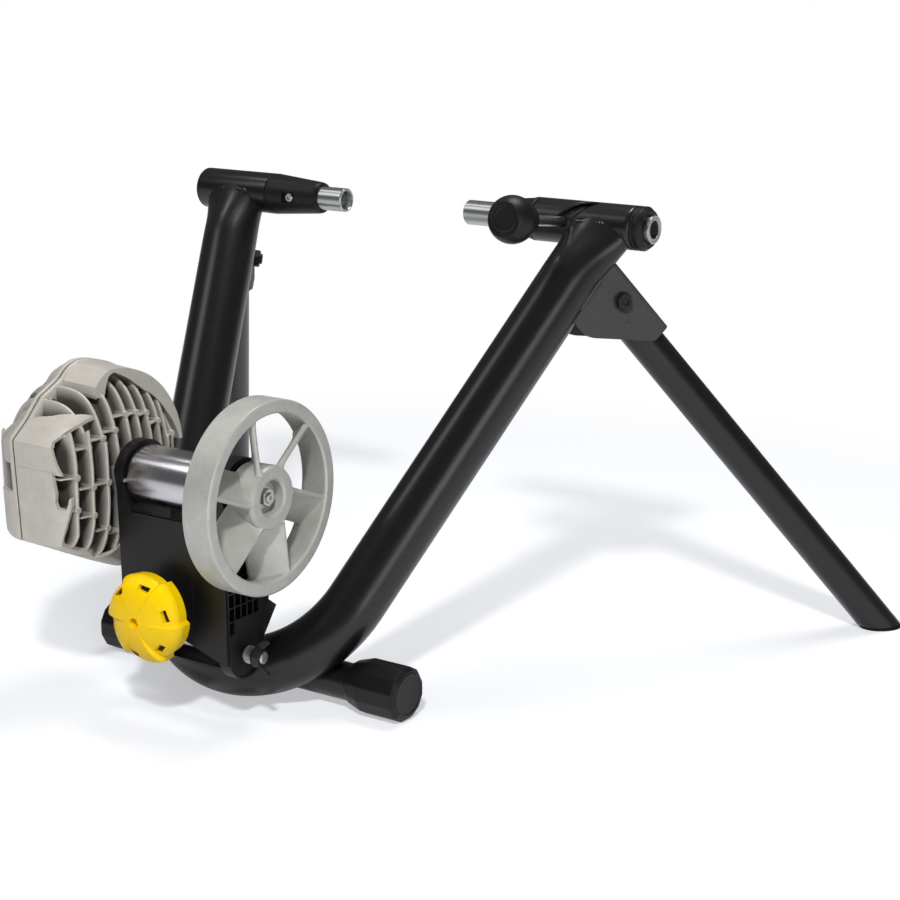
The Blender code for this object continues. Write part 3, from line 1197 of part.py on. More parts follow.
def seat_travel():
    """How the seat's centre moves as the unit tilts: the rod's turn and its length per radian of tilt."""
    arm_y, arm_z = SEAT_Y - PIVOT_Y, TRUNNION_Z - PIVOT_Z
    length = TRUNNION_Y - SEAT_Y
    return -arm_y / length, arm_z


def make_tension(tilt):
    at = (TENSION_X, TRUNNION_Z)
    trunnion = empty("tension_pitch_axis", (0, TRUNNION_Y, TRUNNION_Z), STAND)
    low, high = BRACKET_CHEEKS
    end = TRUNNION_RADIUS
    nut = [
        (low - 0.0006, 0), (low - 0.0006, end), (low + BRACKET_PLATE + 0.0006, end),
        (low + BRACKET_PLATE + 0.0006, CROSS_NUT_RADIUS), (high - BRACKET_PLATE - 0.0006, CROSS_NUT_RADIUS),
        (high - BRACKET_PLATE - 0.0006, end), (high + 0.0006, end), (high + 0.0006, 0),
    ]
    nut = put("cross_nut", turned(nut, (TRUNNION_Y, TRUNNION_Z)), ZINC_PLATE, trunnion)
    cut(nut, bore(TRUNNION_Y - 0.03, TRUNNION_Y + 0.03, TENSION_ROD_RADIUS + RUNNING_GAP, at, "Y", 16))

    slide = empty("tension_slide_axis", (TENSION_X, SEAT_Y, TRUNNION_Z), trunnion)
    passing = (TENSION_ROD_RADIUS + RUNNING_GAP) / math.cos(math.pi / 16)
    nose = []
    for degrees in (32, 50, 68, 85):
        t = math.radians(degrees)
        nose.append((SEAT_Y + SEAT_RADIUS * math.cos(t), SEAT_RADIUS * math.sin(t)))
    flange = CLUTCH_FACE_Y + CLUTCH_FLANGE
    hub = [(SEAT_Y + SEAT_RADIUS * math.cos(math.radians(24)), passing)] + nose
    hub += [(flange, SEAT_RADIUS), (flange, CLUTCH_RADIUS)]
    hub += [(CLUTCH_FACE_Y, CLUTCH_RADIUS), (CLUTCH_FACE_Y, passing)]
    put("clutch_hub", turned(hub, at, "Y"), BLACK_PLASTIC, slide)
    outer = CLUTCH_FACE_Y - SEAT_GAP
    inner = outer - SPRING_HEIGHT
    spring = [(outer, 0.0200), (outer, 0.0222), (inner, 0.0125), (inner, 0.0103)]
    put("clutch_spring", turned(spring, at, "Y", 20), ZINC_PLATE, slide)

    turn = empty("tension_turn_axis", (TENSION_X, SEAT_Y, TRUNNION_Z), slide)
    rod_end = KNOB_APEX_Y + 0.012
    put(
        "tension_rod",
        rod(rod_end, TRUNNION_Y + 0.018, TENSION_ROD_RADIUS, at, "Y", 16), ZINC_PLATE, turn,
    )
    put_knob(turn)


def knob_radius(angle):
    """The knob's rim: lobes that swell slowly one way round and drop at their edge."""
    share = ((angle - KNOB_LOBE_ANGLE) / math.tau * KNOB_LOBES) % 1.0
    rise = min(share / 0.8, (1 - share) / 0.2)
    return KNOB_RADIUS - KNOB_LOBE_DEPTH * (1 - rise)


def put_knob(turn):
    """A hollow dome with a lobed rim, its rings running over the outside and then through the inside."""
    per_lobe = 4
    count = KNOB_LOBES * per_lobe
    depth = KNOB_RIM_Y - KNOB_APEX_Y
    shell = KNOB_SHELL
    outside = [(KNOB_SKIRT_Y, 0.965, 0), (KNOB_RIM_Y + 0.002, 1.0, 0), (KNOB_RIM_Y - 0.001, 0.985, 0)]
    for step in (0.2, 0.55, 0.85):
        outside.append((KNOB_RIM_Y - depth * math.sqrt(1 - (1 - step) ** 2), 1 - step * 0.985, 0))
    outside.append((KNOB_APEX_Y, None, KNOB_EYE_RADIUS))
    outside.append((KNOB_APEX_Y + KNOB_EYE_DEPTH, None, KNOB_EYE_RADIUS - 0.0002))
    boss = TENSION_ROD_RADIUS + SEAT_GAP
    roof = KNOB_APEX_Y + shell
    seat = CLUTCH_FACE_Y - SPRING_HEIGHT - 2 * SEAT_GAP
    inside = [
        (roof + 0.0088, None, boss), (seat, None, boss), (seat, None, KNOB_BOSS_RADIUS),
        (roof + 0.0030, None, KNOB_BOSS_RADIUS),
        (roof + 0.0050, 0.66, -shell), (KNOB_RIM_Y - 0.004, 0.90, -shell), (KNOB_SKIRT_Y, 0.965, -shell),
    ]
    shape = bmesh.new()
    rings = []
    for place, share, plain in outside + inside:
        spots = []
        for k in range(count):
            angle = KNOB_LOBE_ANGLE + math.tau * k / count
            radius = plain if share is None else knob_radius(angle) * share + plain
            spots.append(shape.verts.new(
                (TENSION_X + radius * math.cos(angle), place, TRUNNION_Z + radius * math.sin(angle))
            ))
        rings.append(spots)
    closed = {len(outside) - 1}
    for index, (first, second) in enumerate(zip(rings, rings[1:] + rings[:1])):
        if index in closed:
            shape.faces.new(first)
            shape.faces.new(second)
            continue
        for k in range(count):
            after = (k + 1) % count
            shape.faces.new((first[k], first[after], second[after], second[k]))
    knob = put("tension_knob", shape, KNOB_YELLOW, turn)
    slots = bmesh.new()
    near, far = KNOB_SLOT
    for lobe in range(KNOB_LOBES):
        slot = block(
            (near, KNOB_APEX_Y + 0.001, -KNOB_SLOT_HALF), (far, KNOB_RIM_Y + 0.0075, KNOB_SLOT_HALF)
        )
        angle = KNOB_SLOT_ANGLE + math.tau * lobe / KNOB_LOBES
        bmesh.ops.rotate(slot, verts=slot.verts, matrix=Matrix.Rotation(-angle, 3, "Y"))
        bmesh.ops.translate(slot, verts=slot.verts, vec=(TENSION_X, 0, TRUNNION_Z))
        add_shape(slots, slot)
    cut(knob, slots)


def make_pivot():
    at = (PIVOT_Y, PIVOT_Z)
    reach = (Vector((0, PIVOT_Y, PIVOT_Z)) - BEND_PLACE.translation).dot(LEAN_REAR)
    down = (Vector((0, PIVOT_Y, PIVOT_Z)) - BEND_PLACE.translation).dot(LEAN_DOWN)
    top = (Vector((0, TRUNNION_Y, TRUNNION_Z)) - BEND_PLACE.translation).dot(LEAN_DOWN)
    web = TUBE_RADIUS + SEAT_GAP
    low, high = BRACKET_CHEEKS
    edge = BRACKET_REACH
    above, below, behind = top - edge, down + edge, reach + edge
    outline = [(above, web), (below, web), (below, behind), (above, behind)]
    outline = rounded(outline, (0, 0, edge * 0.9, edge * 0.9), 4)
    bracket = prism(outline, low, high)
    bracket = put("pivot_bracket", moved_by(bracket, BEND_PLACE), POWDER_COAT)
    inside = block(
        (low + BRACKET_PLATE, above - 0.04, web + BRACKET_PLATE),
        (high - BRACKET_PLATE, below + 0.04, behind + 0.04),
    )
    cut(bracket, moved_by(inside, BEND_PLACE))
    cut(bracket, bore(-0.08, 0.08, PIVOT_ROD_RADIUS + SEAT_GAP, at, sides=16))
    cut(bracket, bore(-0.08, 0.08, TRUNNION_RADIUS + RUNNING_GAP, (TRUNNION_Y, TRUNNION_Z), sides=16))
    head = YOKE_LEFT[0] - SEAT_GAP
    radius = PIVOT_ROD_RADIUS
    end = WING_NUT_SPAN[1] + 0.0020
    bolt = [
        (head - 0.0055, 0), (head - 0.0055, radius + 0.0010), (head, radius + 0.0028), (head, radius),
        (end - 0.0010, radius), (end, radius - 0.001), (end, 0),
    ]
    put("pivot_bolt", turned(bolt, at), ZINC_PLATE)
    low, high = WING_NUT_SPAN
    wing_axis = empty("wing_nut_axis", (low, *at), STAND)
    passing = (radius + RUNNING_GAP) / math.cos(math.pi / 20)
    wing = [(low, passing), (low, WING_NUT_RADIUS), (high, 0.8 * WING_NUT_RADIUS), (high, passing)]
    wing = put("wing_nut", turned(wing, at, sides=20), BLACK_STEEL, wing_axis)
    ears = bmesh.new()
    for side in (1, -1):
        ear = rounded(
            [(-0.0026, 0.0060), (0.0026, 0.0060), (0.0045, 0.0140), (0.0, 0.0150), (-0.0045, 0.0140)],
            (0, 0, 0.002, 0.003, 0.002),
        )
        ear = [(PIVOT_Y + 0.5 * (a if side > 0 else -a), PIVOT_Z + side * b) for a, b in ear]
        add_shape(ears, prism(ear, low + 0.0010, high + 0.0065))
    join(wing, ears)
    put("pivot_spring", pivot_spring(at), ZINC_PLATE)


def pivot_spring(at):
    """A short coil round the bolt, between the yoke's ear and the wing nut."""
    wire, coil = 0.0006, 0.0068
    start, end = YOKE_RIGHT[1] + SEAT_GAP + wire, WING_NUT_SPAN[0] - SEAT_GAP - wire
    turns, per_turn, around = 4, 9, 5
    shape = bmesh.new()
    rings = []
    centres = []
    for step in range(turns * per_turn + 1):
        angle = math.tau * step / per_turn
        x = start + (end - start) * step / (turns * per_turn)
        outward = Vector((0, math.cos(angle), math.sin(angle)))
        centre = Vector((x, *at)) + coil * outward
        centres.append(centre)
        rings.append([
            shape.verts.new(centre + wire * (math.cos(t) * outward + math.sin(t) * Vector((1, 0, 0))))
            for t in (math.tau * k / around for k in range(around))
        ])
    for first, second in zip(rings, rings[1:]):
        for k in range(around):
            after = (k + 1) % around
            shape.faces.new((first[k], first[after], second[after], second[k]))
    shape.faces.new(rings[0])
    shape.faces.new(rings[-1])
    gaps = [(centres[i + per_turn] - centres[i]).length - 2 * wire for i in range(len(centres) - per_turn)]
    print(f"pivot spring: least gap between its turns {1000 * min(gaps):.2f} mm")
    bmesh.ops.recalc_face_normals(shape, faces=shape.faces)
    return shape


def main():
    make_main_frame()
    make_crossbars()
    make_clamp()
    for side in (1, -1):
        make_leg(side)
    make_foot_bar()
    tilt = make_unit()
    make_rotor(tilt)
    make_housing(tilt)
    make_tension(tilt)
    make_pivot()
    turn, length = seat_travel()
    print(f"tension rod: turns {turn:.3f} rad and shortens {1000 * length:.1f} mm per radian of tilt")


main()
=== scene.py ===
# %% [markdown]
# # A fluid bike trainer
# This file dresses the plain solids of a bike trainer: a bent steel frame that holds a bicycle's rear axle,
# and a roller with a fan flywheel and a finned fluid chamber that the tyre drives.
# The solids come in as a fixed frame. Round and moulded pieces are made anew here as smooth surfaces, because
# the solids have few sides, and every surface gets a finish made of nodes.

# %% Start
import math

import bmesh
import bpy
import numpy as np
from mathutils import Matrix


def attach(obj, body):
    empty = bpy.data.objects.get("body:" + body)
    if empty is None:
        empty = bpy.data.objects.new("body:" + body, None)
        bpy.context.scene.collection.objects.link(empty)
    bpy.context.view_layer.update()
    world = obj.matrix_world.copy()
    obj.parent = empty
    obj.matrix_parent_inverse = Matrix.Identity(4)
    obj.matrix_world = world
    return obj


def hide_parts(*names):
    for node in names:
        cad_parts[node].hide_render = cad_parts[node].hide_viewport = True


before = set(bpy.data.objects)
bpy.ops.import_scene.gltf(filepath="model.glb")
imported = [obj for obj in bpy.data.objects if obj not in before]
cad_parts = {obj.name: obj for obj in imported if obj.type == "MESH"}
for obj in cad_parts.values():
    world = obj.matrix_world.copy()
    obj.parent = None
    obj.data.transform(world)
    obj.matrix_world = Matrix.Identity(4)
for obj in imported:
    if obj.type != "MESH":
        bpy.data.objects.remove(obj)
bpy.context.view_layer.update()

# %% [markdown]
# ## The camera
# The photograph was taken from the rear right corner, a little above axle height, with a long lens. A camera
# is three directions and a place, so its matrix is written down from the two angles. The frame is square, and
# on a 36 mm sensor the field of view gives the lens.

# %% Camera
# The pieces are drawn about the middle of the axle line, which lies this far in front of the frame's middle.
STAND_Y = 0.0912542
CAMERA_TURN, CAMERA_LIFT = math.radians(34.25), math.radians(14.69)
CAMERA_PLACE = (1.0764, -1.5205 + STAND_Y, 0.6432)
FIELD_OF_VIEW = math.radians(24.7533)

toward_camera = np.array([
    math.sin(CAMERA_TURN) * math.cos(CAMERA_LIFT),
    -math.cos(CAMERA_TURN) * math.cos(CAMERA_LIFT),
    math.sin(CAMERA_LIFT),
])
camera_right = np.array([math.cos(CAMERA_TURN), math.sin(CAMERA_TURN), 0.0])
camera_up = np.cross(toward_camera, camera_right)

scene = bpy.context.scene
camera = bpy.data.objects.new("camera", bpy.data.cameras.new("camera"))
scene.collection.objects.link(camera)
camera.data.sensor_width = 36.0
camera.data.lens = camera.data.sensor_width / 2 / math.tan(FIELD_OF_VIEW / 2)
placing = np.eye(4)
placing[:3, :] = np.stack([camera_right, camera_up, toward_camera, CAMERA_PLACE], -1)
camera.matrix_world = Matrix(placing.tolist())
scene.camera = camera
print("lens:", round(camera.data.lens, 2), "mm")

# %% [markdown]
# ## Writing a finish
# A finish is a small tree of nodes. Wiring it by hand hides the arithmetic, so a socket is wrapped in a class
# whose + - * / add the Math nodes that they mean. Every other node comes from one method.

# %% Node helpers
def srgb(red, green, blue):
    """A colour as it looks on screen, from 0 to 255, as the linear colour that a shader needs."""
    shares = np.array([red, green, blue]) / 255
    linear = np.where(shares > 0.04045, ((shares + 0.055) / 1.055) ** 2.4, shares / 12.92)
    return (*linear.tolist(), 1.0)


class Field:
    """A number that varies over a surface; arithmetic on it adds Math nodes to its finish."""

    def __init__(self, finish, socket):
        self.finish, self.socket = finish, socket

    def worked(self, operation, first, second):
        """One Math node on two values or links, as a new Field."""
        return self.finish.field("ShaderNodeMath", {"operation": operation}, {0: first, 1: second}, 0)

    def __add__(self, other):
        return self.worked("ADD", self, other)

    def __sub__(self, other):
        return self.worked("SUBTRACT", self, other)

    def __rsub__(self, other):
        return self.worked("SUBTRACT", other, self)

    def __mul__(self, other):
        return self.worked("MULTIPLY", self, other)

    __radd__, __rmul__ = __add__, __mul__


class Finish:
    """A material: the slot it fills, its shader's own values, and the nodes that vary them."""

    def __init__(self, name, slot=None, **values):
        self.slot = slot
        self.material = bpy.data.materials.new(name)
        self.material.use_nodes = True
        self.tree = self.material.node_tree
        self.shader = self.tree.nodes["Principled BSDF"]
        for socket, value in values.items():
            self.shader.inputs[socket.replace("_", " ")].default_value = value
        self.place = self.node("ShaderNodeTexCoord").outputs["Object"]

    def node(self, kind, settings=None, inputs=None):
        """A node of any type: its settings are set first, and then the values or links of its sockets."""
        made = self.tree.nodes.new(kind)
        for key, value in (settings or {}).items():
            setattr(made, key, value)
        for key, value in (inputs or {}).items():
            self.feed(made.inputs[key], value)
        return made

    def feed(self, socket, value):
        """Links a socket to a Field or to another socket, or gives it a plain value."""
        if isinstance(value, Field):
            value = value.socket
        if isinstance(value, bpy.types.NodeSocket):
            self.tree.links.new(value, socket)
        else:
            socket.default_value = value

    def field(self, kind, settings, inputs, output):
        """One output of a new node, wrapped so that arithmetic works on it."""
        return Field(self, self.node(kind, settings, inputs).outputs[output])

    def stretched(self, x, y, z):
        """The place on the piece, scaled along each axis, for grain that runs one way."""
        mapping = self.node("ShaderNodeMapping", None, {"Vector": self.place, "Scale": (x, y, z)})
        return mapping.outputs["Vector"]

    def noise(self, scale, detail=2.0, place=None, roughness=0.5):
        """Smooth noise from 0 to 1 in the piece's own space, with this many swells to the metre."""
        inputs = {"Vector": place or self.place, "Scale": scale, "Detail": detail, "Roughness": roughness}
        return self.field("ShaderNodeTexNoise", None, inputs, "Fac")

    def between(self, value, low, high):
        """0 below low, 1 above high and a smooth change between them."""
        inputs = {"Value": value, "From Min": low, "From Max": high}
        return self.field("ShaderNodeMapRange", {"interpolation_type": "SMOOTHSTEP"}, inputs, "Result")

    def mixed(self, share, first, second):
        """One colour changing into another with the share."""
        node = self.node("ShaderNodeMix", {"data_type": "RGBA"}, {"Factor": share})
        self.feed(node.inputs[6], first)
        self.feed(node.inputs[7], second)
        return node.outputs[2]

    def colour(self, value):
        self.feed(self.shader.inputs["Base Color"], value)

    def roughness(self, value):
        self.feed(self.shader.inputs["Roughness"], value)

    def relief(self, height, depth):
        """Raises the surface's shading by a height from 0 to 1, depth metres deep."""
        inputs = {"Height": height, "Distance": depth, "Strength": 1.0}
        self.feed(self.shader.inputs["Normal"], self.node("ShaderNodeBump", None, inputs).outputs["Normal"])


# %% [markdown]
# ## Painted and moulded blacks
# The tube is powder coated: baked powder leaves a satin black skin with a faint orange peel, about a
# millimetre from crest to crest. Fine noise gives the peel through the bump, and slow noise varies how dull
# it is, as handled paint does. The bent brackets carry a flatter, greyer paint.

# %% Paint
powder_coat = Finish(
    "powder_coat_satin", "powder_coat", Specular_IOR_Level=0.5, Coat_Weight=0.12, Coat_Roughness=0.2)
peel = powder_coat.noise(900, 2.0)
cloud = powder_coat.noise(14, 3.0)
dust = powder_coat.between(powder_coat.noise(160, 4.0), 0.60, 0.78)
powder_coat.colour(powder_coat.mixed(dust * 0.22, srgb(19, 18, 19), srgb(44, 42, 42)))
powder_coat.roughness(0.25 + 0.09 * cloud + 0.08 * dust)
powder_coat.relief(peel + 0.25 * powder_coat.noise(260, 1.0), 0.00006)

bracket_paint = Finish("bracket_paint_grey", "bracket_paint", Specular_IOR_Level=0.4)
fleck = bracket_paint.noise(1300, 2.0)
cloud = bracket_paint.noise(20, 3.0)
bracket_paint.colour(bracket_paint.mixed(0.25 * fleck + 0.35 * cloud, srgb(60, 59, 60), srgb(80, 79, 79)))
bracket_paint.roughness(0.50 + 0.12 * cloud)
bracket_paint.relief(fleck, 0.00005)

# %% [markdown]
# The yoke, noses and caps are moulded plastic, spark-textured in the tool: a duller black with a finer grain.
# The rubber of the feet has no gloss left at all. An image of the grain would blur or repeat up close, and
# noise in the piece's own space does neither.

# %% Plastic and rubber
black_plastic = Finish("moulded_black_plastic", "black_plastic", Specular_IOR_Level=0.36)
grain = black_plastic.noise(2100, 2.0)
handled = black_plastic.noise(30, 3.0)
black_plastic.colour(black_plastic.mixed(0.5 * handled, srgb(16, 15, 16), srgb(29, 28, 28)))
black_plastic.roughness(0.34 + 0.16 * handled)
black_plastic.relief(grain, 0.00004)

black_rubber = Finish("black_rubber_dull", "black_rubber", Specular_IOR_Level=0.25)
scuff = black_rubber.between(black_rubber.noise(220, 4.0), 0.5, 0.75)
black_rubber.colour(black_rubber.mixed(scuff, srgb(17, 17, 18), srgb(36, 35, 35)))
black_rubber.roughness(0.72 + 0.15 * scuff)
black_rubber.relief(black_rubber.noise(1500, 2.0), 0.00008)

knob_yellow = Finish("knob_yellow_plastic", "knob_yellow", Specular_IOR_Level=0.3, Subsurface_Weight=0.05)
cloud = knob_yellow.noise(35, 2.0)
knob_yellow.colour(knob_yellow.mixed(cloud, srgb(252, 200, 0), srgb(255, 214, 3)))
knob_yellow.roughness(0.33 + 0.10 * knob_yellow.noise(60, 3.0))
knob_yellow.relief(knob_yellow.noise(1800, 2.0), 0.00002)

# %% [markdown]
# ## Metals
# Zinc plate is bright but a little cloudy, with a blue and yellow bloom. The roller was turned, so its marks
# run round the axle line: noise squeezed along X becomes rings. The castings are grainy: sand and die
# surfaces are two sizes of bump over a mottled grey.

# %% Bright metals
def ringed(finish, fine, coarse):
    """Turning marks round X: noise that changes fast along X and hardly at all round it."""
    narrow = finish.noise(1.0, 2.0, finish.stretched(fine, 12, 12))
    broad = finish.noise(1.0, 2.0, finish.stretched(coarse, 8, 8))
    return 0.6 * narrow + 0.4 * broad


zinc_plate = Finish("zinc_plate_bright", "zinc_plate", Metallic=1.0)
bloom = zinc_plate.noise(45, 3.0)
turning = ringed(zinc_plate, 5000, 600)
zinc_plate.colour(zinc_plate.mixed(bloom, srgb(196, 202, 206), srgb(208, 208, 194)))
zinc_plate.roughness(0.20 + 0.16 * turning + 0.08 * bloom)
zinc_plate.relief(turning, 0.00003)

polished_aluminium = Finish("polished_aluminium_roller", "polished_aluminium", Metallic=1.0)
turning = ringed(polished_aluminium, 12000, 1500)
polished_aluminium.colour(
    polished_aluminium.mixed(polished_aluminium.noise(30, 2.0), srgb(206, 205, 210), srgb(222, 221, 224)))
polished_aluminium.roughness(0.14 + 0.14 * turning)
polished_aluminium.relief(turning, 0.00002)

black_steel = Finish("black_oxide_steel", "black_steel", Metallic=0.75)
bloom = black_steel.noise(240, 4.0)
black_steel.colour(black_steel.mixed(bloom, srgb(44, 40, 40), srgb(74, 70, 68)))
black_steel.roughness(0.34 + 0.2 * bloom)
black_steel.relief(bloom, 0.00004)

# %% Castings
def cast(name, slot, dark, light, rough, pits, shaded=0.0):
    """A casting: mottled colour, two grains and open pits, and shade painted dark into its recesses.

    The painted shade follows the attribute named depth: 0 at the edge of a fin, 1 at its root.
    """
    made = Finish(name, slot, Metallic=0.45, Specular_IOR_Level=0.5)
    mottle = made.noise(70, 5.0, roughness=0.65)
    fine = made.noise(1500, 3.0)
    coarse = made.noise(420, 2.0)
    pit = made.between(made.noise(620, 3.0), 0.66, 0.74)
    tone_and_painted_shade = made.mixed(0.55 * mottle + 0.35 * fine + 0.1 - 0.35 * pits * pit, dark, light)
    if shaded:
        recess = made.field("ShaderNodeAttribute", {"attribute_name": "depth"}, None, "Fac")
        # Painted shade: with depth the colour darkens toward a deep brown, in place of the shadow that falls
        # between the fins.
        tone_and_painted_shade = made.mixed(recess * shaded, tone_and_painted_shade, srgb(34, 30, 27))
    made.colour(tone_and_painted_shade)
    made.roughness(rough + 0.16 * mottle)
    made.relief(0.6 * fine + 0.9 * coarse - pits * pit, 0.00016)
    return made


# shaded=0.86 paints shade into the recesses between the housing's fins.
cast_aluminium = cast(
    "cast_aluminium_warm", "cast_aluminium", srgb(170, 165, 156), srgb(235, 230, 221), 0.44, 0.5, shaded=0.86)
cast_flywheel = cast(
    "cast_flywheel_cool", "cast_flywheel", srgb(150, 151, 145), srgb(224, 224, 217), 0.40, 1.0)

# %% [markdown]
# A few plain solids stay as they are, most of them inside the others. Each one gets the finish whose slot its
# CAD material names.

# %% Finishes for the plain solids
FINISHES = (powder_coat, bracket_paint, black_plastic, black_rubber, knob_yellow, zinc_plate,
            polished_aluminium, black_steel, cast_aluminium, cast_flywheel)
finish_of_slot = {finish.slot: finish for finish in FINISHES}
for node_name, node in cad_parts.items():
    old = node.data.materials[0].name.split(".")[0] if node.data.materials else "black_plastic"
    chosen = finish_of_slot.get(old, black_plastic).material
    if not node.material_slots:
        node.data.materials.append(chosen)
    node.material_slots[0].material = chosen
    print(node_name, "wears", chosen.name)

# %% [markdown]
# ## Making a surface
# Each new piece is a grid of points worked out with numpy: rows and columns of places in space, whole arrays
# at a time. Patches of such grids are put together into one mesh, their doubled points are merged, which also
# closes the poles, and small bevels catch the light as real edges do.

# %% Surface helpers
def quads_of(rows, columns, around, along):
    """Corner numbers of a grid's quads; around joins the last column to the first, along the last row."""
    row, column = np.meshgrid(
        np.arange(rows if along else rows - 1), np.arange(columns if around else columns - 1), indexing="ij")
    below, beside = (row + 1) % rows, (column + 1) % columns
    here, under = row * columns, below * columns
    return np.stack([here + column, here + beside, under + beside, under + column], -1).reshape(-1, 4)


def grid(points, around=False, along=False):
    """A patch: a (rows, columns, 3) array of points with the quads between them."""
    points = np.asarray(points, float)
    return points.reshape(-1, 3), quads_of(points.shape[0], points.shape[1], around, along)


def closed(rings):
    """A patch through rings of points, the first and the last drawn together to a point in their middle."""
    first, last = rings[:1].mean(1, keepdims=True), rings[-1:].mean(1, keepdims=True)
    return grid(np.concatenate([first + 0 * rings[:1], rings, last + 0 * rings[:1]]), around=True)


def moved(patch, matrix, by):
    """The patch turned by a matrix and then shifted."""
    points, quads = patch
    return points @ np.asarray(matrix).T + np.asarray(by), quads


def mirrored(patches):
    """The same patches on the other side of the bicycle's middle plane."""
    return [(points * MIRROR, quads[:, ::-1]) for points, quads in patches]


MIRROR = np.array([-1.0, 1.0, 1.0])
BOTH_SIDES = (("right", list), ("left", mirrored))


def numbered(faces, start):
    """Faces as lists of corner numbers, counted on from start."""
    if isinstance(faces, np.ndarray):
        return (faces + start).tolist()
    return [[corner + start for corner in face] for face in faces]


def mesh_from(name, patches):
    """One mesh from patches in the stand's places, doubled points merged and every face turned outward."""
    counts = np.cumsum([0] + [len(points) for points, _ in patches]).tolist()
    points = np.concatenate([points for points, _ in patches]) + np.array([0.0, STAND_Y, 0.0])
    faces = sum((numbered(corners, start) for (_, corners), start in zip(patches, counts)), [])
    mesh = bpy.data.meshes.new(name)
    mesh.from_pydata(points.tolist(), [], faces)
    shape = bmesh.new()
    shape.from_mesh(mesh)
    bmesh.ops.remove_doubles(shape, verts=shape.verts, dist=2e-6)
    bmesh.ops.recalc_face_normals(shape, faces=shape.faces)
    shape.to_mesh(mesh)
    shape.free()
    return mesh


def carved(mesh, cutters):
    """The mesh with other closed shapes cut out of it: an exact Boolean between two objects made for it."""
    block = bpy.data.objects.new("block", mesh)
    tool = bpy.data.objects.new("tool", mesh_from("tool", cutters))
    for item in (block, tool):
        scene.collection.objects.link(item)
    cut = block.modifiers.new("cut", "BOOLEAN")
    cut.operation, cut.solver, cut.use_self, cut.object = "DIFFERENCE", "EXACT", True, tool
    made = bpy.data.meshes.new_from_object(block.evaluated_get(bpy.context.evaluated_depsgraph_get()))
    bpy.data.objects.remove(block)
    bpy.data.objects.remove(tool)
    return made


def make_piece(name, patches, finish, body, stands_for, bevel=0.0, wall=0.0, sharp=38.0, cut=None,
               depth_of=None):
    """A piece from patches, less the shapes in cut, with a finish, riding on a CAD body.

    depth_of gives, for every point, how deep in a recess it lies, from 0 to 1; it is kept as an attribute.
    """
    mesh = mesh_from(name, patches)
    if depth_of:
        places = np.array([vertex.co[:] for vertex in mesh.vertices]) - np.array([0.0, STAND_Y, 0.0])
        kept = mesh.attributes.new("depth", "FLOAT", "POINT")
        kept.data.foreach_set("value", depth_of(places).astype(np.float32))
    if cut:
        mesh = carved(mesh, cut)
        mesh.name = name
    mesh.shade_smooth()
    mesh.set_sharp_from_angle(angle=math.radians(sharp))
    mesh.materials.append(finish.material)
    piece = bpy.data.objects.new(name, mesh)
    scene.collection.objects.link(piece)
    if wall:
        sheet = piece.modifiers.new("wall", "SOLIDIFY")
        sheet.thickness, sheet.offset, sheet.use_even_offset = wall, -1.0, True
    if bevel:
        edge = piece.modifiers.new("edge", "BEVEL")
        edge.width, edge.segments, edge.limit_method = bevel, 3, "ANGLE"
        edge.angle_limit, edge.use_clamp_overlap = math.radians(sharp), True
    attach(piece, body)
    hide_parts(*stands_for)
    print(name, len(mesh.vertices), "points")
    return piece


# %% [markdown]
# Most of a trainer is turned or drawn: spindles, tubes, caps. A turned shape is an outline of distances and
# radii swept round an axis. Its corners are filleted first, because a sharp outline looks like a drawing and
# not like metal.

# %% Turned shapes
def filleted(outline, radius, steps=5):
    """The outline with its inner corners rounded.

    Each corner becomes a quadratic curve, (1 - s)**2 of the first point, 2s(1 - s) of the corner and s**2 of
    the last, between the points where an arc of this radius would touch the two sides.
    """
    outline = np.asarray(outline, float)
    made = [outline[0]]
    for before, corner, after in zip(outline, outline[1:], outline[2:]):
        back, ahead = before - corner, after - corner
        back_length, ahead_length = np.hypot(*back), np.hypot(*ahead)
        back, ahead = back / back_length, ahead / ahead_length
        half = np.arccos(np.clip(back @ ahead, -1, 1)) / 2
        reach = min(radius / np.tan(half), 0.48 * back_length, 0.48 * ahead_length)
        share = np.linspace(0, 1, steps + 1)[:, None]
        first, last = corner + back * reach, corner + ahead * reach
        made.extend((1 - share) ** 2 * first + 2 * share * (1 - share) * corner + share**2 * last)
    made.append(outline[-1])
    return np.array(made)


AXES = {
    "X": np.array([[1, 0, 0], [0, 1, 0], [0, 0, 1]], float),
    "Y": np.array([[0, 1, 0], [1, 0, 0], [0, 0, 1]], float),
    "Z": np.array([[0, 0, 1], [1, 0, 0], [0, 1, 0]], float),
}


def turned(outline, centre, along="X", sides=64, fillet=0.0, shape=None):
    """Sweeps (distance, radius) points round an axis through centre, its two places across the axis.

    shape may change the radius with the angle: it takes radii and angles and returns radii.
    """
    outline = filleted(outline, fillet) if fillet else np.asarray(outline, float)
    angle = np.linspace(0, math.tau, sides, endpoint=False)[None, :]
    distance, radius = outline[:, :1] + 0 * angle, outline[:, 1:] + 0 * angle
    if shape:
        radius = shape(radius, angle)
    first, second = centre[0] + radius * np.cos(angle), centre[1] + radius * np.sin(angle)
    return grid(np.stack([distance, first, second], -1) @ AXES[along], around=True)


def hexagonal(across):
    """Makes a radius follow a hexagon of this size between its flats, where the radius reaches that far."""
    def shape(radius, angle):
        flat = across / 2 / np.cos((angle + math.pi / 6) % (math.pi / 3) - math.pi / 6)
        return np.minimum(radius, flat)
    return shape


# %% [markdown]
# ## The main tube
# One steel tube is bent into a U. Its two uprights lean forward, the bend lies on the floor, and the tops are
# pressed flatter so that they wrap the crossbars. A curve with a bevel would give the round part, but not the
# pressed tops nor the saddle cut, so the tube is a grid: stations along the path, and points round each one.

# %% The tube's path
AXLE_HEIGHT = 0.384
TOP = np.array([0.20325, -0.003, AXLE_HEIGHT])
LEAN = math.radians(37.1)
TAPER = math.radians(15.4)
BEND_RADIUS = 0.105
TUBE_RADIUS = 0.0254
CROSSBAR_RADIUS, CROSSBAR_BORE = 0.01905, 0.01705
PINCH_LENGTH, PINCH_WIDE, PINCH_NARROW = 0.060, 0.0285, 0.0165

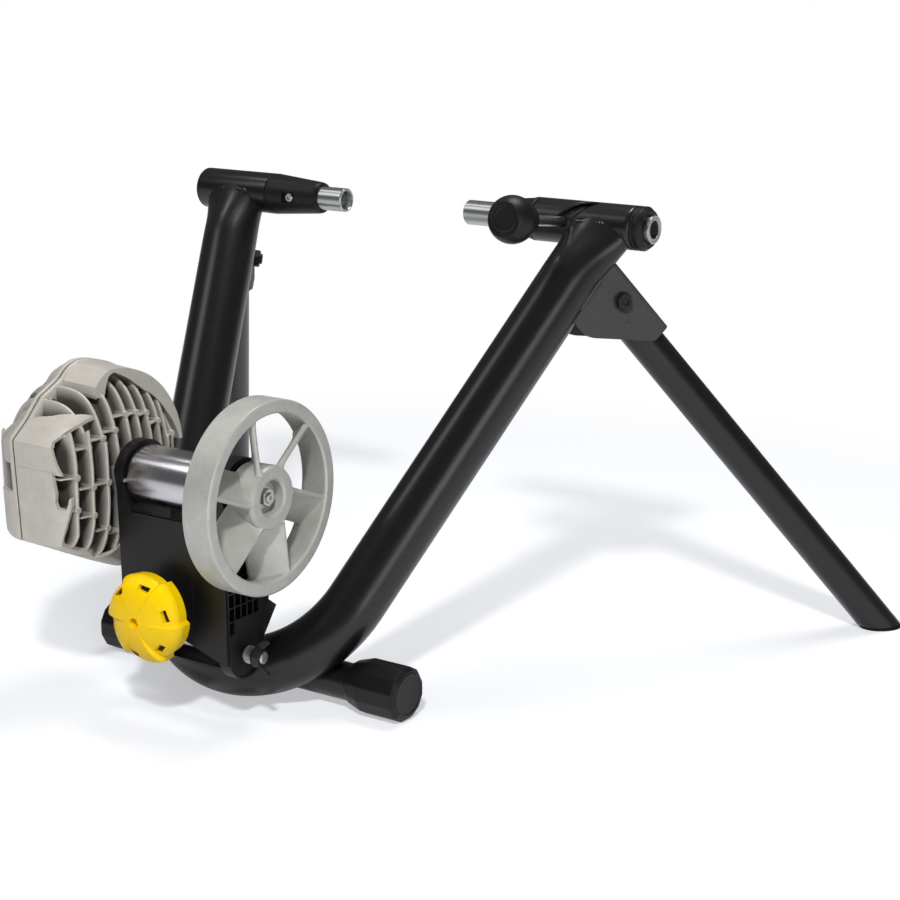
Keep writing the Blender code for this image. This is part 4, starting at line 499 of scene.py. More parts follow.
X_AXIS = np.array([1.0, 0.0, 0.0])
LEAN_DOWN = np.array([0.0, -math.sin(LEAN), -math.cos(LEAN)])
LEAN_REAR = np.array([0.0, -math.cos(LEAN), math.sin(LEAN)])
UPRIGHT_DOWN = -math.sin(TAPER) * X_AXIS + math.cos(TAPER) * LEAN_DOWN
UPRIGHT_OUT = math.cos(TAPER) * X_AXIS + math.sin(TAPER) * LEAN_DOWN
bend_share = math.cos(TAPER) - math.tan(TAPER) * (1 - math.sin(TAPER))
FRAME_DEPTH = (TOP[0] - BEND_RADIUS * bend_share) / math.tan(TAPER)
BEND_CENTRE = TOP * np.array([0, 1, 1]) + (FRAME_DEPTH - BEND_RADIUS) * LEAN_DOWN
bend_start = BEND_CENTRE + BEND_RADIUS * UPRIGHT_OUT
STRAIGHT = float(np.linalg.norm(bend_start - TOP))
print("straight part:", round(1000 * STRAIGHT, 1), "mm")


def saddle_start(angle):
    """How far down each line of the tube meets the crossbar's cylinder, from the circle's equation."""
    across = LEAN_REAR @ (TOP - np.array([TOP[0], 0, AXLE_HEIGHT])) + PINCH_NARROW * np.sin(angle)
    down = LEAN_DOWN @ (TOP - np.array([TOP[0], 0, AXLE_HEIGHT]))
    reach = np.sqrt(np.clip((CROSSBAR_RADIUS - 0.0004) ** 2 - across**2, 1e-8, None))
    return (reach - down - PINCH_WIDE * np.cos(angle) * math.sin(TAPER)) / math.cos(TAPER)


def tube_half(angle, stations=90):
    """The right upright as (station, angle) points: an oval top easing into the round tube."""
    start = saddle_start(angle)[None, :]
    share = np.linspace(0, 1, stations)[:, None]
    distance = start + (STRAIGHT - start) * share**1.35
    press = np.clip(1 - distance / PINCH_LENGTH, 0, 1)
    press = press**2 * (3 - 2 * press)
    wide = TUBE_RADIUS + (PINCH_WIDE - TUBE_RADIUS) * press + 0.004 * press**3
    deep = TUBE_RADIUS + (PINCH_NARROW - TUBE_RADIUS) * press
    centre = TOP + distance[..., None] * UPRIGHT_DOWN
    side = (wide * np.cos(angle))[..., None] * UPRIGHT_OUT
    return centre + side + (deep * np.sin(angle))[..., None] * LEAN_REAR


# %% The tube
angle = np.linspace(0, math.tau, 72, endpoint=False)
right_half = tube_half(angle)
turn = np.linspace(TAPER, math.pi - TAPER, 74)[1:-1, None, None]
outward = np.cos(turn) * X_AXIS + np.sin(turn) * LEAN_DOWN
round_side = np.cos(angle)[None, :, None] * outward + np.sin(angle)[None, :, None] * LEAN_REAR
bend = BEND_CENTRE + BEND_RADIUS * outward + TUBE_RADIUS * round_side
top_middle = right_half[0].mean(0)
top_cap = top_middle + (right_half[0] - top_middle) * np.linspace(0, 0.8, 5)[:, None, None]
# The cap bulges down with the crossbar's wall, so that it leaves the bore free for the sliding spindle.
off_axle = top_cap[..., 1:] - (0, AXLE_HEIGHT)
out_of_bore = (CROSSBAR_RADIUS - 0.0008) / np.linalg.norm(off_axle, axis=-1, keepdims=True)
top_cap[..., 1:] = (0, AXLE_HEIGHT) + off_axle * np.maximum(1, out_of_bore)
rows = np.concatenate([top_cap, right_half, bend, right_half[::-1] * MIRROR, top_cap[::-1] * MIRROR])


def weld(line, outward, radius, ripple=0.0022, taper=0.12):
    """A bead along a line of points: a round bar that swells once for every dab of the torch.

    Its size is 0.86 plus 0.14 times the size of a sine of the length, and a square root closes both ends.
    """
    line, outward = np.asarray(line), np.asarray(outward)
    ahead = np.gradient(line, axis=0)
    ahead /= np.linalg.norm(ahead, axis=1, keepdims=True)
    beside = np.cross(ahead, outward)
    length = np.concatenate([[0], np.cumsum(np.linalg.norm(np.diff(line, axis=0), axis=1))])
    share = length / length[-1]
    ends = np.sqrt(np.clip(np.minimum(share, 1 - share) / taper, 0, 1))
    size = radius * ends * (0.86 + 0.14 * np.abs(np.sin(math.pi * length / ripple)))
    around = np.linspace(0, math.tau, 14, endpoint=False)
    level = np.cos(around)[None, :, None] * beside[:, None]
    raised = 0.75 * np.sin(around)[None, :, None] * outward[:, None]
    return grid(line[:, None] + size[:, None, None] * (level + raised), around=True)


bead_x = np.linspace(0.1795, 0.2135, 90)
bead_turn = math.radians(8)
bead_out = np.array([0.0, -math.cos(bead_turn), math.sin(bead_turn)])
bead_line = np.stack([bead_x, 0 * bead_x, 0 * bead_x + AXLE_HEIGHT], 1) + CROSSBAR_RADIUS * bead_out
crossbar_weld = weld(bead_line, np.broadcast_to(bead_out, (90, 3)), 0.0032)
make_piece(
    "bent_tube", [grid(rows, around=True), crossbar_weld] + mirrored([crossbar_weld]),
    powder_coat, "frame", ["main_frame_tube"])

# %% [markdown]
# ## Crossbars and noses
# A short tube is welded across each upright. The right one has a helical slot, through which the clamp lever
# comes out. A Boolean would cut it, but leaves a ragged mesh, so the wall is drawn in two grids, one to each
# side of the slot, whose facing edges follow it and meet where it ends. Solidify gives the wall its thickness.

# %% Crossbars
LEVER_X, LEVER_ANGLE, LEVER_TURN, CLAMP_TRAVEL = 0.168, math.radians(8), math.radians(75), 0.025
SLOT_HALF = 0.0052
RIGHT_BAR, LEFT_BAR = (0.1374, 0.2346), (-0.2410, -0.1595)
AT_AXLE = (0.0, AXLE_HEIGHT)


def slot_edges(angle):
    """The slot's low and high x at each angle: a round-ended strip on the unrolled wall."""
    arc = CROSSBAR_RADIUS * LEVER_TURN
    slant = math.hypot(arc, CLAMP_TRAVEL)
    along = CROSSBAR_RADIUS * (angle - LEVER_ANGLE)
    centre = np.linspace(0, slant, 400)[:, None]
    across = along - centre * arc / slant
    width = np.sqrt(np.clip(SLOT_HALF**2 - across**2, 0, None))
    inside = np.abs(across) < SLOT_HALF
    low = np.where(inside, centre * CLAMP_TRAVEL / slant - width, 1.0).min(0)
    high = np.where(inside, centre * CLAMP_TRAVEL / slant + width, -1.0).max(0)
    middle = LEVER_X + np.clip(along, 0, arc) / arc * CLAMP_TRAVEL
    open_here = inside.any(0)
    return np.where(open_here, LEVER_X + low, middle), np.where(open_here, LEVER_X + high, middle)


angle = np.linspace(-math.pi, math.pi, 361)[:-1]
low, high = slot_edges(angle)
wall_side = np.stack([0 * angle, -CROSSBAR_RADIUS * np.cos(angle), CROSSBAR_RADIUS * np.sin(angle)], -1)
share = np.linspace(0, 1, 14)[:, None]
axle = np.array([0, 0, AXLE_HEIGHT])
halves = []
for start, end in ((RIGHT_BAR[0], low), (high, RIGHT_BAR[1])):
    place = (start + (end - start) * share)[..., None] * X_AXIS
    halves.append(grid(place + wall_side[None] + axle, around=True))
make_piece("slotted_crossbar", halves, powder_coat, "frame", ["right_crossbar"],
           wall=CROSSBAR_RADIUS - CROSSBAR_BORE, sharp=60)
plain_bar = turned(
    [(LEFT_BAR[0], CROSSBAR_BORE), (LEFT_BAR[0], CROSSBAR_RADIUS), (LEFT_BAR[1], CROSSBAR_RADIUS),
     (LEFT_BAR[1], CROSSBAR_BORE), (LEFT_BAR[0], CROSSBAR_BORE)], AT_AXLE, sides=96, fillet=0.0003)
make_piece("plain_crossbar", [plain_bar], powder_coat, "frame", ["left_crossbar"])

# %% [markdown]
# The noses are moulded bushes that lead the spindles out of the bars. The right one tapers toward its tip, and
# the left one has a window, so it comes last. The bars' far ends carry a ringed cap and a plain plug. A
# cylinder with bevels could do for each, but one outline swept round holds every step, groove and soft lip.

# %% Noses and caps
SPINDLE_RADIUS, BUSH_BORE, SEAT_GAP = 0.0110, 0.0111, 0.0003
start = RIGHT_BAR[0] - SEAT_GAP
right_nose = turned(
    [(start - 0.0404, BUSH_BORE), (start - 0.0404, 0.0146), (start - 0.0072, 0.0179),
     (start - 0.0032, CROSSBAR_RADIUS), (start, CROSSBAR_RADIUS), (start, 0.0170), (start + 0.006, 0.0170),
     (start + 0.006, BUSH_BORE), (start - 0.0404, BUSH_BORE)], AT_AXLE, fillet=0.0012)
make_piece("right_nose", [right_nose], black_plastic, "frame", ["right_nose_bush"])

start = RIGHT_BAR[1] + SEAT_GAP
end = start + 0.0114
end_ring = turned(
    [(start, BUSH_BORE), (start, CROSSBAR_RADIUS), (start + 0.0022, CROSSBAR_RADIUS), (start + 0.0026, 0.0182),
     (start + 0.0034, 0.0182), (start + 0.0038, CROSSBAR_RADIUS), (end - 0.0042, CROSSBAR_RADIUS),
     (end, 0.0160), (end, 0.0125), (end - 0.0016, 0.0118), (end - 0.0016, BUSH_BORE), (start, BUSH_BORE)],
    AT_AXLE, fillet=0.0006)
make_piece("ringed_end_cap", [end_ring], black_plastic, "frame", ["right_end_cap"])

start = LEFT_BAR[0] - SEAT_GAP
plug = turned(
    [(start - 0.0028, 0), (start - 0.0028, 0.0165), (start - 0.0012, CROSSBAR_RADIUS),
     (start, CROSSBAR_RADIUS), (start, 0.0168), (start + 0.010, 0.0168), (start + 0.010, 0)],
    AT_AXLE, fillet=0.0009)
make_piece("left_plug", [plug], black_plastic, "frame", ["left_end_plug"])

# %% [markdown]
# ## Spindles
# The zinc plated spindles end in a cup that grips the axle's nut. The right one carries a silver collar.
# Real ones are made on a lathe, and an outline swept round the axle line is the same idea: its points walk
# from the bottom of the cup over the lip and along the rod.

# %% Spindles
LEFT_TIP, LEFT_END, RIGHT_TIP = -0.075, -0.195, 0.062


def cup(tip, inward):
    """The stepped cup in a spindle's tip, out to the rod's radius; inward, +1 or -1, is toward its bar."""
    return [
        (tip + inward * 0.012, 0), (tip + inward * 0.012, 0.0062), (tip + inward * 0.004, 0.0074),
        (tip + inward * 0.0008, 0.0086), (tip, 0.0090), (tip, 0.0102), (tip + inward * 0.0008, SPINDLE_RADIUS),
    ]


plain_end = [(LEFT_END + 0.001, SPINDLE_RADIUS), (LEFT_END, SPINDLE_RADIUS - 0.001), (LEFT_END, 0)]
left = turned(cup(LEFT_TIP, -1) + plain_end, AT_AXLE, fillet=0.0004)
make_piece("left_cup_spindle", [left], zinc_plate, "left_spindle", ["left_spindle"])
collar_low, collar_high = 0.2469, 0.2502
hollow_end = [
    (0.1462, SPINDLE_RADIUS), (0.1462, 0.0155), (0.1528, 0.0155), (0.1528, SPINDLE_RADIUS),
    (collar_low, SPINDLE_RADIUS), (collar_low, 0.0098), (collar_high - 0.0002, 0.0098),
    (collar_high - 0.0002, 0.0078), (collar_high - 0.030, 0.0078), (collar_high - 0.034, 0)]
right = turned(cup(RIGHT_TIP, 1) + hollow_end, AT_AXLE, fillet=0.0004)
make_piece("right_cup_spindle", [right], zinc_plate, "right_spindle", ["right_spindle"])
seat = collar_low + 0.0001
collar = turned(
    [(seat, 0.0100), (seat, 0.0112), (seat + 0.0011, 0.0112), (seat + 0.0015, 0.0122), (collar_high, 0.0122),
     (collar_high, 0.0100), (seat, 0.0100)], AT_AXLE, fillet=0.0004)
make_piece("silver_collar", [collar], zinc_plate, "adjusting_collar", ["adjusting_collar"])

# %% [markdown]
# ## The clamp lever
# A zinc plated rod screws into the sleeve inside the crossbar and ends in a moulded ball. The ball's flat
# face has two moulded rings, and a short neck leads back to the rod. A ready-made sphere has neither, so the
# ball is an arc of latitudes inside one outline, turned about the rod.

# %% Lever
LEVER_OUT = np.array([0.0, -math.cos(LEVER_ANGLE), math.sin(LEVER_ANGLE)])
LEVER_UP = np.array([0.0, math.sin(LEVER_ANGLE), math.cos(LEVER_ANGLE)])
lever_frame = np.stack([LEVER_OUT, X_AXIS, LEVER_UP], 1)
KNOB_REACH, BALL = 0.0959, 0.0204


def on_lever(outline, fillet=0.0):
    """An outline turned about the lever: its distances are measured out from the axle line."""
    return moved(turned(outline, (0.0, 0.0), sides=80, fillet=fillet), lever_frame, (LEVER_X, 0, AXLE_HEIGHT))


rod = on_lever([(0.0128, 0), (0.0128, 0.0045), (0.0895, 0.0045), (0.0900, 0.0040), (0.0900, 0)], 0.0003)
make_piece("lever_stem", [rod], zinc_plate, "clamp_lever", ["lever_rod"])
latitude = np.radians(np.linspace(130, 48, 28))
ball = [(KNOB_REACH + BALL * math.cos(t), BALL * math.sin(t)) for t in latitude]
ball_profile = np.concatenate([
    filleted([(0.0762, 0.0047), (0.0762, 0.0146), (0.0812, 0.0152), ball[0]], 0.0008), ball[1:-1],
    filleted([ball[-1], (0.1092, 0.0142), (0.1092, 0.0128), (0.1084, 0.0120), (0.1088, 0.0110),
              (0.1092, 0.0098), (0.1084, 0.0088), (0.1084, 0.0)], 0.0006),
])
make_piece("lever_ball", [on_lever(ball_profile)], black_plastic, "clamp_lever", ["lever_knob"])

# %% [markdown]
# ## Legs
# The folding legs are plain tubes with a plug cut level with the floor. A Boolean could slice a cylinder, but
# here every line of the tube simply runs down to the height of the cut, so the slanted end is exact and even.

# %% Leg tubes and feet
LEG_RADIUS = 0.015875
LEG_START = TOP + 0.0383 * UPRIGHT_DOWN
LEG_END = np.array([0.3911, 0.1993, 0.0])
LEG_DOWN = (LEG_END - LEG_START) / np.linalg.norm(LEG_END - LEG_START)
inward = UPRIGHT_DOWN - (UPRIGHT_DOWN @ LEG_DOWN) * LEG_DOWN
LEG_IN = inward / np.linalg.norm(inward)
LEG_SIDE = np.cross(LEG_DOWN, LEG_IN)
LEG_PIVOT = 0.045
leg_frame = np.stack([LEG_DOWN, LEG_IN, LEG_SIDE], 1)
leg_length = float(np.linalg.norm(LEG_END - LEG_START))
print("from its bracket to the floor a leg is", round(1000 * leg_length), "mm long")


def down_to(height, rim):
    """How far along the leg the line through each point of the rim reaches a height above the floor."""
    return (height - (LEG_START + rim)[:, 2]) / LEG_DOWN[2]


def shrunk(ring, shares):
    """Copies of a ring, drawn in toward its middle by each share."""
    middle = ring.mean(0)
    return middle + (ring - middle) * np.array(shares)[:, None, None]


angle = np.linspace(0, math.tau, 64, endpoint=False)
leg_circle = np.cos(angle)[:, None] * LEG_IN + np.sin(angle)[:, None] * LEG_SIDE
rim = LEG_RADIUS * leg_circle
# The top is rounded about the pivot, and more so beside the channel's bent corners, where it swings past them.
round_end = LEG_RADIUS + 0.0002 - 0.0035 * np.sin(angle) ** 8
top = LEG_PIVOT - np.sqrt(np.clip(round_end**2 - (LEG_RADIUS * np.cos(angle)) ** 2, 0, None))
low_end = down_to(0.0034, rim)
reach = top + (low_end - top) * np.linspace(0, 1, 60)[:, None]
leg_rows = LEG_START + reach[..., None] * LEG_DOWN + rim[None]
lip = shrunk(leg_rows[-1], [0.985, 0.86, 0.0])
lip[0] -= 0.0004 * LEG_DOWN
leg = grid(np.concatenate([shrunk(leg_rows[0], [0.0, 0.8]), leg_rows, lip]), around=True)

plug_rim = (LEG_RADIUS - 0.0003) * leg_circle
plug_ends = np.stack([down_to(0.0032, plug_rim), down_to(0.0, plug_rim)])
foot = closed(LEG_START + plug_ends[..., None] * LEG_DOWN + plug_rim)

for word, hand in BOTH_SIDES:
    make_piece(f"{word}_leg", hand([leg]), powder_coat, f"{word}_leg", [f"{word}_leg_tube"])
    make_piece(f"{word}_foot", hand([foot]), black_rubber, f"{word}_leg", [f"{word}_leg_foot"], bevel=0.0004)

# %% [markdown]
# ## Leg brackets
# Each bracket is a plate bent into a channel and welded to the upright. Unfolded, it is a strip from the free
# edge of one cheek, over the web, to the free edge of the other, so that is how the grid runs: one parameter
# across the strip, and one from the upright's wall out to the plate's outline.

# %% Brackets
BRACKET_HALF, WEB_Y = 0.01825, -0.01755
CHEEK_TOP = 0.0447
tilt = math.acos(UPRIGHT_DOWN @ LEG_DOWN)


def beside_upright(y, z):
    """How far along the leg a line leaves the upright: just inside its wall, as the plate is welded in."""
    inside_wall = TUBE_RADIUS - 0.0004
    return (y * math.cos(tilt) + np.sqrt(np.clip(inside_wall**2 - z**2, 0, None))) / math.sin(tilt)


def plate_end(y):
    """The plate's outline beyond the pivot: square by the web, then sloping back to a rounded corner."""
    corners = np.array([(-0.03, 0.0915), (-0.0010, 0.0921), (0.0012, 0.0908), (0.0400, 0.0500),
                        (0.0432, 0.0452), (0.0446, 0.0395), (CHEEK_TOP, 0.0350)])
    return np.interp(y, corners[:, 0], corners[:, 1])


corner = 0.0045
bend_angle = np.linspace(0, math.pi / 2, 9)
cheek = np.linspace(CHEEK_TOP, WEB_Y + corner, 60)
strip_y = np.concatenate([cheek, WEB_Y + corner - corner * np.sin(bend_angle[1:])])
strip_z = np.concatenate([0 * cheek - BRACKET_HALF, -BRACKET_HALF + corner - corner * np.cos(bend_angle[1:])])
strip_y, strip_z = np.concatenate([strip_y, strip_y[::-1]]), np.concatenate([strip_z, -strip_z[::-1]])
near, far = beside_upright(strip_y, strip_z), plate_end(strip_y)
share = np.linspace(0, 1, 40)[:, None]
plate = near + (np.maximum(far, near + 0.002) - near) * share
bracket = np.stack([plate, strip_y + 0 * share, strip_z + 0 * share], -1) @ leg_frame.T + LEG_START
bracket_weld_y = np.linspace(0.000, 0.034, 70)
weld_z = 0 * bracket_weld_y - BRACKET_HALF - 0.0012
weld_line = np.stack([beside_upright(bracket_weld_y, weld_z) + 0.0006, bracket_weld_y, weld_z], -1)
bead = weld(weld_line @ leg_frame.T + LEG_START, np.broadcast_to(-LEG_SIDE, (70, 3)), 0.0024)
sheet_patch = grid(bracket)
print("each bracket's strip:", bracket.shape[0], "by", bracket.shape[1], "points")

# %% [markdown]
# The leg swings on a bolt across the channel, with a washer under its head and a nut behind, and a flush rivet
# sits beside it. They are drawn on the leg's own axes, as the bracket is, so that they meet it square.

# %% Bracket fastenings
def on_leg(outline, at, fillet=0.0, shape=None, sides=48):
    """An outline turned about a line across the leg; at is its place along and inward of the leg."""
    drawn = turned(outline, at, sides=sides, fillet=fillet, shape=shape)
    across_leg = np.stack([LEG_SIDE, LEG_DOWN, LEG_IN], 1)
    return moved(drawn, across_leg, LEG_START)


outside = BRACKET_HALF + 0.00125
head = on_leg(
    [(-outside, 0), (-outside, 0.0078), (-outside - 0.0006, 0.0078), (-outside - 0.0050, 0.0074),
     (-outside - 0.0060, 0.0062), (-outside - 0.0060, 0.0036), (-outside - 0.0042, 0.0033),
     (-outside - 0.0042, 0)], (LEG_PIVOT, 0), 0.0003, hexagonal(0.013))
washer = on_leg([(-outside, 0), (-outside, 0.0086), (-outside - 0.0009, 0.0086), (-outside - 0.0009, 0)],
                (LEG_PIVOT, 0), 0.0003)
thread = on_leg([(outside, 0), (outside, 0.0050), (outside + 0.0088, 0.0050), (outside + 0.0094, 0.0042),
                 (outside + 0.0094, 0)], (LEG_PIVOT, 0), 0.0003)
nut = on_leg([(outside, 0), (outside, 0.0087), (outside + 0.0065, 0.0087), (outside + 0.0070, 0.0078),
              (outside + 0.0070, 0)], (LEG_PIVOT, 0), 0.0003, hexagonal(0.015))
rivet = on_leg([(-outside + 0.0004, 0), (-outside + 0.0004, 0.0044), (-outside - 0.0001, 0.0043),
                (-outside - 0.0001, 0.0038), (-outside + 0.0001, 0.0036), (-outside - 0.0003, 0.0030),
                (-outside - 0.0003, 0)], (0.064, 0.010), 0.0001)
for word, hand in BOTH_SIDES:
    plate_piece = make_piece(f"{word}_bracket", hand([sheet_patch]), bracket_paint, "frame",
                             [f"{word}_leg_bracket"])
    folded = plate_piece.modifiers.new("gauge", "SOLIDIFY")
    folded.thickness, folded.offset = 0.0025, 0.0
    edge = plate_piece.modifiers.new("edge", "BEVEL")
    edge.width, edge.segments, edge.angle_limit = 0.0005, 2, math.radians(50)
    make_piece(f"{word}_bracket_weld", hand([bead]), bracket_paint, "frame", [])
    make_piece(f"{word}_pivot_head", hand([head, washer, thread]), black_steel, "frame",
               [f"{word}_leg_pivot_bolt"])
    make_piece(f"{word}_pivot_nut", hand([nut]), black_steel, "frame", [f"{word}_leg_pivot_nut"])
    make_piece(f"{word}_rivet", hand([rivet]), bracket_paint, "frame", [f"{word}_bracket_rivet"])

# %% [markdown]
# ## Foot bar and levelling caps
# A short tube crosses under the bend. Each end wears a cap with twelve flats whose hole is off centre, so that
# turning it lifts or lowers that side. The flats come from a rule that shortens the radius with the angle, and
# a limit on that rule rounds the ridges between them. Toward the bar the cap narrows to a round neck.

# %% Foot bar and caps
BAR_Y, BAR_Z, CAP_FLAT = -0.2381, 0.0215, 0.0227
BAR_HALF = 0.1499
bar = turned([(-BAR_HALF, 0), (-BAR_HALF, LEG_RADIUS), (BAR_HALF, LEG_RADIUS), (BAR_HALF, 0)], (BAR_Y, BAR_Z),
             fillet=0.0004)
make_piece("cross_foot_bar", [bar], powder_coat, "frame", ["foot_bar"])


def twelve_flats(radius, angle):
    """A circle with twelve flats, and the ridges between them rounded off.

    A flat is cos 15 degrees over the cosine of the angle from its middle, held under 0.9925. The share lets
    the flats fade in from the round neck outward.
    """
    share = np.clip((radius - 0.0165) / 0.0045, 0, 1)
    turn = (angle + math.pi / 12) % (math.pi / 6) - math.pi / 12
    flat = np.minimum(np.cos(math.pi / 12) / np.cos(turn), 0.9925)
    return radius * (1 - share + share * flat)


ridge = CAP_FLAT / math.cos(math.pi / 12)
cap = turned(
    [(0.1085, 0.0159), (0.1085, 0.0178), (0.1100, 0.0190), (0.1130, 0.0200), (0.1240, ridge), (0.1480, ridge),
     (0.1590, ridge), (0.1622, ridge - 0.0030), (0.1622, 0.0190), (0.1630, 0.0184), (0.1630, 0.0166),
     (0.1624, 0.0160), (0.1624, 0)], (BAR_Y, CAP_FLAT), sides=192, fillet=0.0012, shape=twelve_flats)
back = turned([(0.1085, 0), (0.1085, 0.0165)], (BAR_Y, CAP_FLAT), sides=192)
for word, hand in BOTH_SIDES:
    make_piece(f"{word}_levelling_cap", hand([cap, back]), black_plastic, f"{word}_foot_cap",
               [f"{word}_foot_cap"])

# %% [markdown]
# ## The yoke
# The roller runs in a moulded yoke: two side walls joined by a rear wall. A side wall is a flat outline with
# arcs round the pivot and round the bearing, so it is drawn as a plate whose two faces share one outline. The
# right wall is hollowed by a lattice of deep square cells, as mouldings are, to keep the walls thin.

# %% Plates
ROLLER_Y, ROLLER_Z = -0.3146, 0.1963
PIVOT_Y, PIVOT_Z = -0.3159, 0.0606
TENSION_X, TENSION_Z = -0.0060, 0.0930
YOKE_REAR = -0.3400


def arc(centre, radius, start, end, steps):
    """Points on a circle, from one angle to another in degrees."""
    turn = np.radians(np.linspace(start, end, steps))
    return np.stack([centre[0] + radius * np.cos(turn), centre[1] + radius * np.sin(turn)], 1)


def plate(outline, low, high, along="X"):
    """A flat outline carried from low to high along an axis, with a face at each end."""
    outline = np.concatenate([np.atleast_2d(np.asarray(part, float)) for part in outline])
    count = len(outline)
    points = np.array([(place, *spot) for place in (low, high) for spot in outline]) @ AXES[along]
    sides = quads_of(2, count, True, False).tolist()
    return points, sides + [list(range(count)), list(range(count, 2 * count))[::-1]]


def box(low, high):
    """A block between two corners, for cutting openings."""
    section = [(low[1], low[2]), (high[1], low[2]), (high[1], high[2]), (low[1], high[2])]
    return plate([section], low[0], high[0])


# %% Yoke
AT_ROLLER, AT_PIVOT, AT_TENSION = (ROLLER_Y, ROLLER_Z), (PIVOT_Y, PIVOT_Z), (TENSION_X, TENSION_Z)
ARM_OUTLINE = [
    arc(AT_PIVOT, 0.0212, 180, 380, 30), [(-0.2990, 0.0690), (-0.2861, 0.1030)],
    arc(AT_ROLLER, 0.0285, 0, 168, 34), [(YOKE_REAR, 0.1880)],
]
CELL_Y, CELL_Z, RIB = 0.0076, 0.0119, 0.0013
CELL_FLOOR, PAST_WALL = 0.0490, 0.0600
lattice = []
for column in range(6):
    for row in range(5):
        y, z = -0.3368 + column * CELL_Y, 0.0812 + row * CELL_Z
        front_edge = -0.2910 - 0.0122 * max(0.0, (0.103 - z) / 0.032)
        in_ear = math.hypot(y + 0.5 * CELL_Y - PIVOT_Y, z - PIVOT_Z) < 0.0235
        if y + CELL_Y <= front_edge and not in_ear:
            lattice.append(box((CELL_FLOOR, y, z), (PAST_WALL, y + CELL_Y - RIB, z + CELL_Z - RIB)))
right_arm = plate(ARM_OUTLINE, 0.0450, 0.0570)
ear_recess = turned([(0.0558, 0), (0.0558, 0.0190), (PAST_WALL, 0.0190), (PAST_WALL, 0)], AT_PIVOT, sides=72)
make_piece("yoke_right_wall", [right_arm], black_plastic, "resistance_unit", ["yoke"], bevel=0.0005,
           cut=lattice + [ear_recess])
left_arm = plate(ARM_OUTLINE, -0.0572, -0.0480)
rear_wall = plate(
    [[(-0.0560, 0.1250), (-0.0445, 0.1150), (-0.0400, 0.0735), (0.0000, 0.0730), (0.0107, 0.0702),
      (0.0360, 0.0617), (0.0560, 0.0560), (0.0560, 0.1790), (0.0440, 0.1790), (0.0360, 0.1700),
      (-0.0420, 0.1700), (-0.0490, 0.1790), (-0.0560, 0.1790)]], YOKE_REAR + 0.0001, YOKE_REAR + 0.0045, "Y")
seat_boss = turned([(YOKE_REAR + 0.0090, 0), (YOKE_REAR + 0.0090, 0.0160), (YOKE_REAR + 0.0020, 0.0180),
                    (YOKE_REAR + 0.0020, 0)], AT_TENSION, "Y", fillet=0.0008)
ridge_line = box((0.0208, YOKE_REAR - 0.0007, 0.0790), (0.0222, YOKE_REAR + 0.0010, 0.1260))
long_ribs = [box((x - 0.0012, YOKE_REAR + 0.0030, 0.0770), (x + 0.0012, YOKE_REAR + 0.0140, 0.1680))
             for x in (-0.0340, 0.0240)]
rod_hole = turned([(YOKE_REAR - 0.0100, 0), (YOKE_REAR - 0.0100, 0.0085), (YOKE_REAR + 0.0300, 0.0085),
                   (YOKE_REAR + 0.0300, 0)], AT_TENSION, "Y", sides=48)
make_piece("yoke_left_and_rear_wall", [left_arm, rear_wall, seat_boss, ridge_line] + long_ribs, black_plastic,
           "resistance_unit", [], bevel=0.0006, cut=[rod_hole])

# %% [markdown]
# ## Roller and bearings
# The roller is a thick aluminium tube, turned all over. Its ends are dished, and a ball bearing sits behind
# each. A small bright screw beside the roller holds the left bearing's cover. The sweep is the spindles' own,
# with twice the sides, because a polished cylinder shows every facet in what it reflects.

# %% Roller
roller_outline = [
    (-0.0435, 0.0062), (-0.0435, 0.0200), (-0.0465, 0.0212), (-0.0465, 0.0249), (0.0440, 0.0249),
    (0.0440, 0.0212), (0.0410, 0.0200), (0.0410, 0.0062), (-0.0435, 0.0062)]
drum = turned(roller_outline, AT_ROLLER, sides=128, fillet=0.0007)
make_piece("polished_roller", [drum], polished_aluminium, "rotor", ["roller"])
bearing_screw = turned(
    [(-0.0482, 0), (-0.0482, 0.0017), (-0.0468, 0.0017), (-0.0464, 0.0012), (-0.0464, 0.0007),
     (-0.0470, 0.0006), (-0.0470, 0)], (-0.3402, 0.1962), sides=24, fillet=0.0002)
make_piece("bearing_screw", [bearing_screw], zinc_plate, "resistance_unit", [])


def bearing_ring(low, high, inner, outer, fillet=0.0):
    """A ring about the roller's axis, from low to high along it and between two radii."""
    corners = [(low, inner), (low, outer), (high, outer), (high, inner), (low, inner)]
    return turned(corners, AT_ROLLER, fillet=fillet)


for word, low in (("left", -0.0570), ("right", 0.0490)):
    high = low + 0.0080
    rings = [bearing_ring(low, high, 0.0061, 0.0085, 0.0003), bearing_ring(low, high, 0.0115, 0.0139, 0.0003),
             bearing_ring(low + 0.0008, high - 0.0008, 0.0084, 0.0116)]
    make_piece(f"{word}_ball_bearing", rings, zinc_plate, "resistance_unit", [f"{word}_bearing"])

# %% [markdown]
# ## Flywheel
# The flywheel is one casting: a heavy rim, a hub and six fan blades. A blade is a flat bar that leans 45
# degrees, so one loop, the bar's section seen along the blade, is carried from the hub out to the rim. The
# section grows a little at both ends, which is how a casting's fillets look.

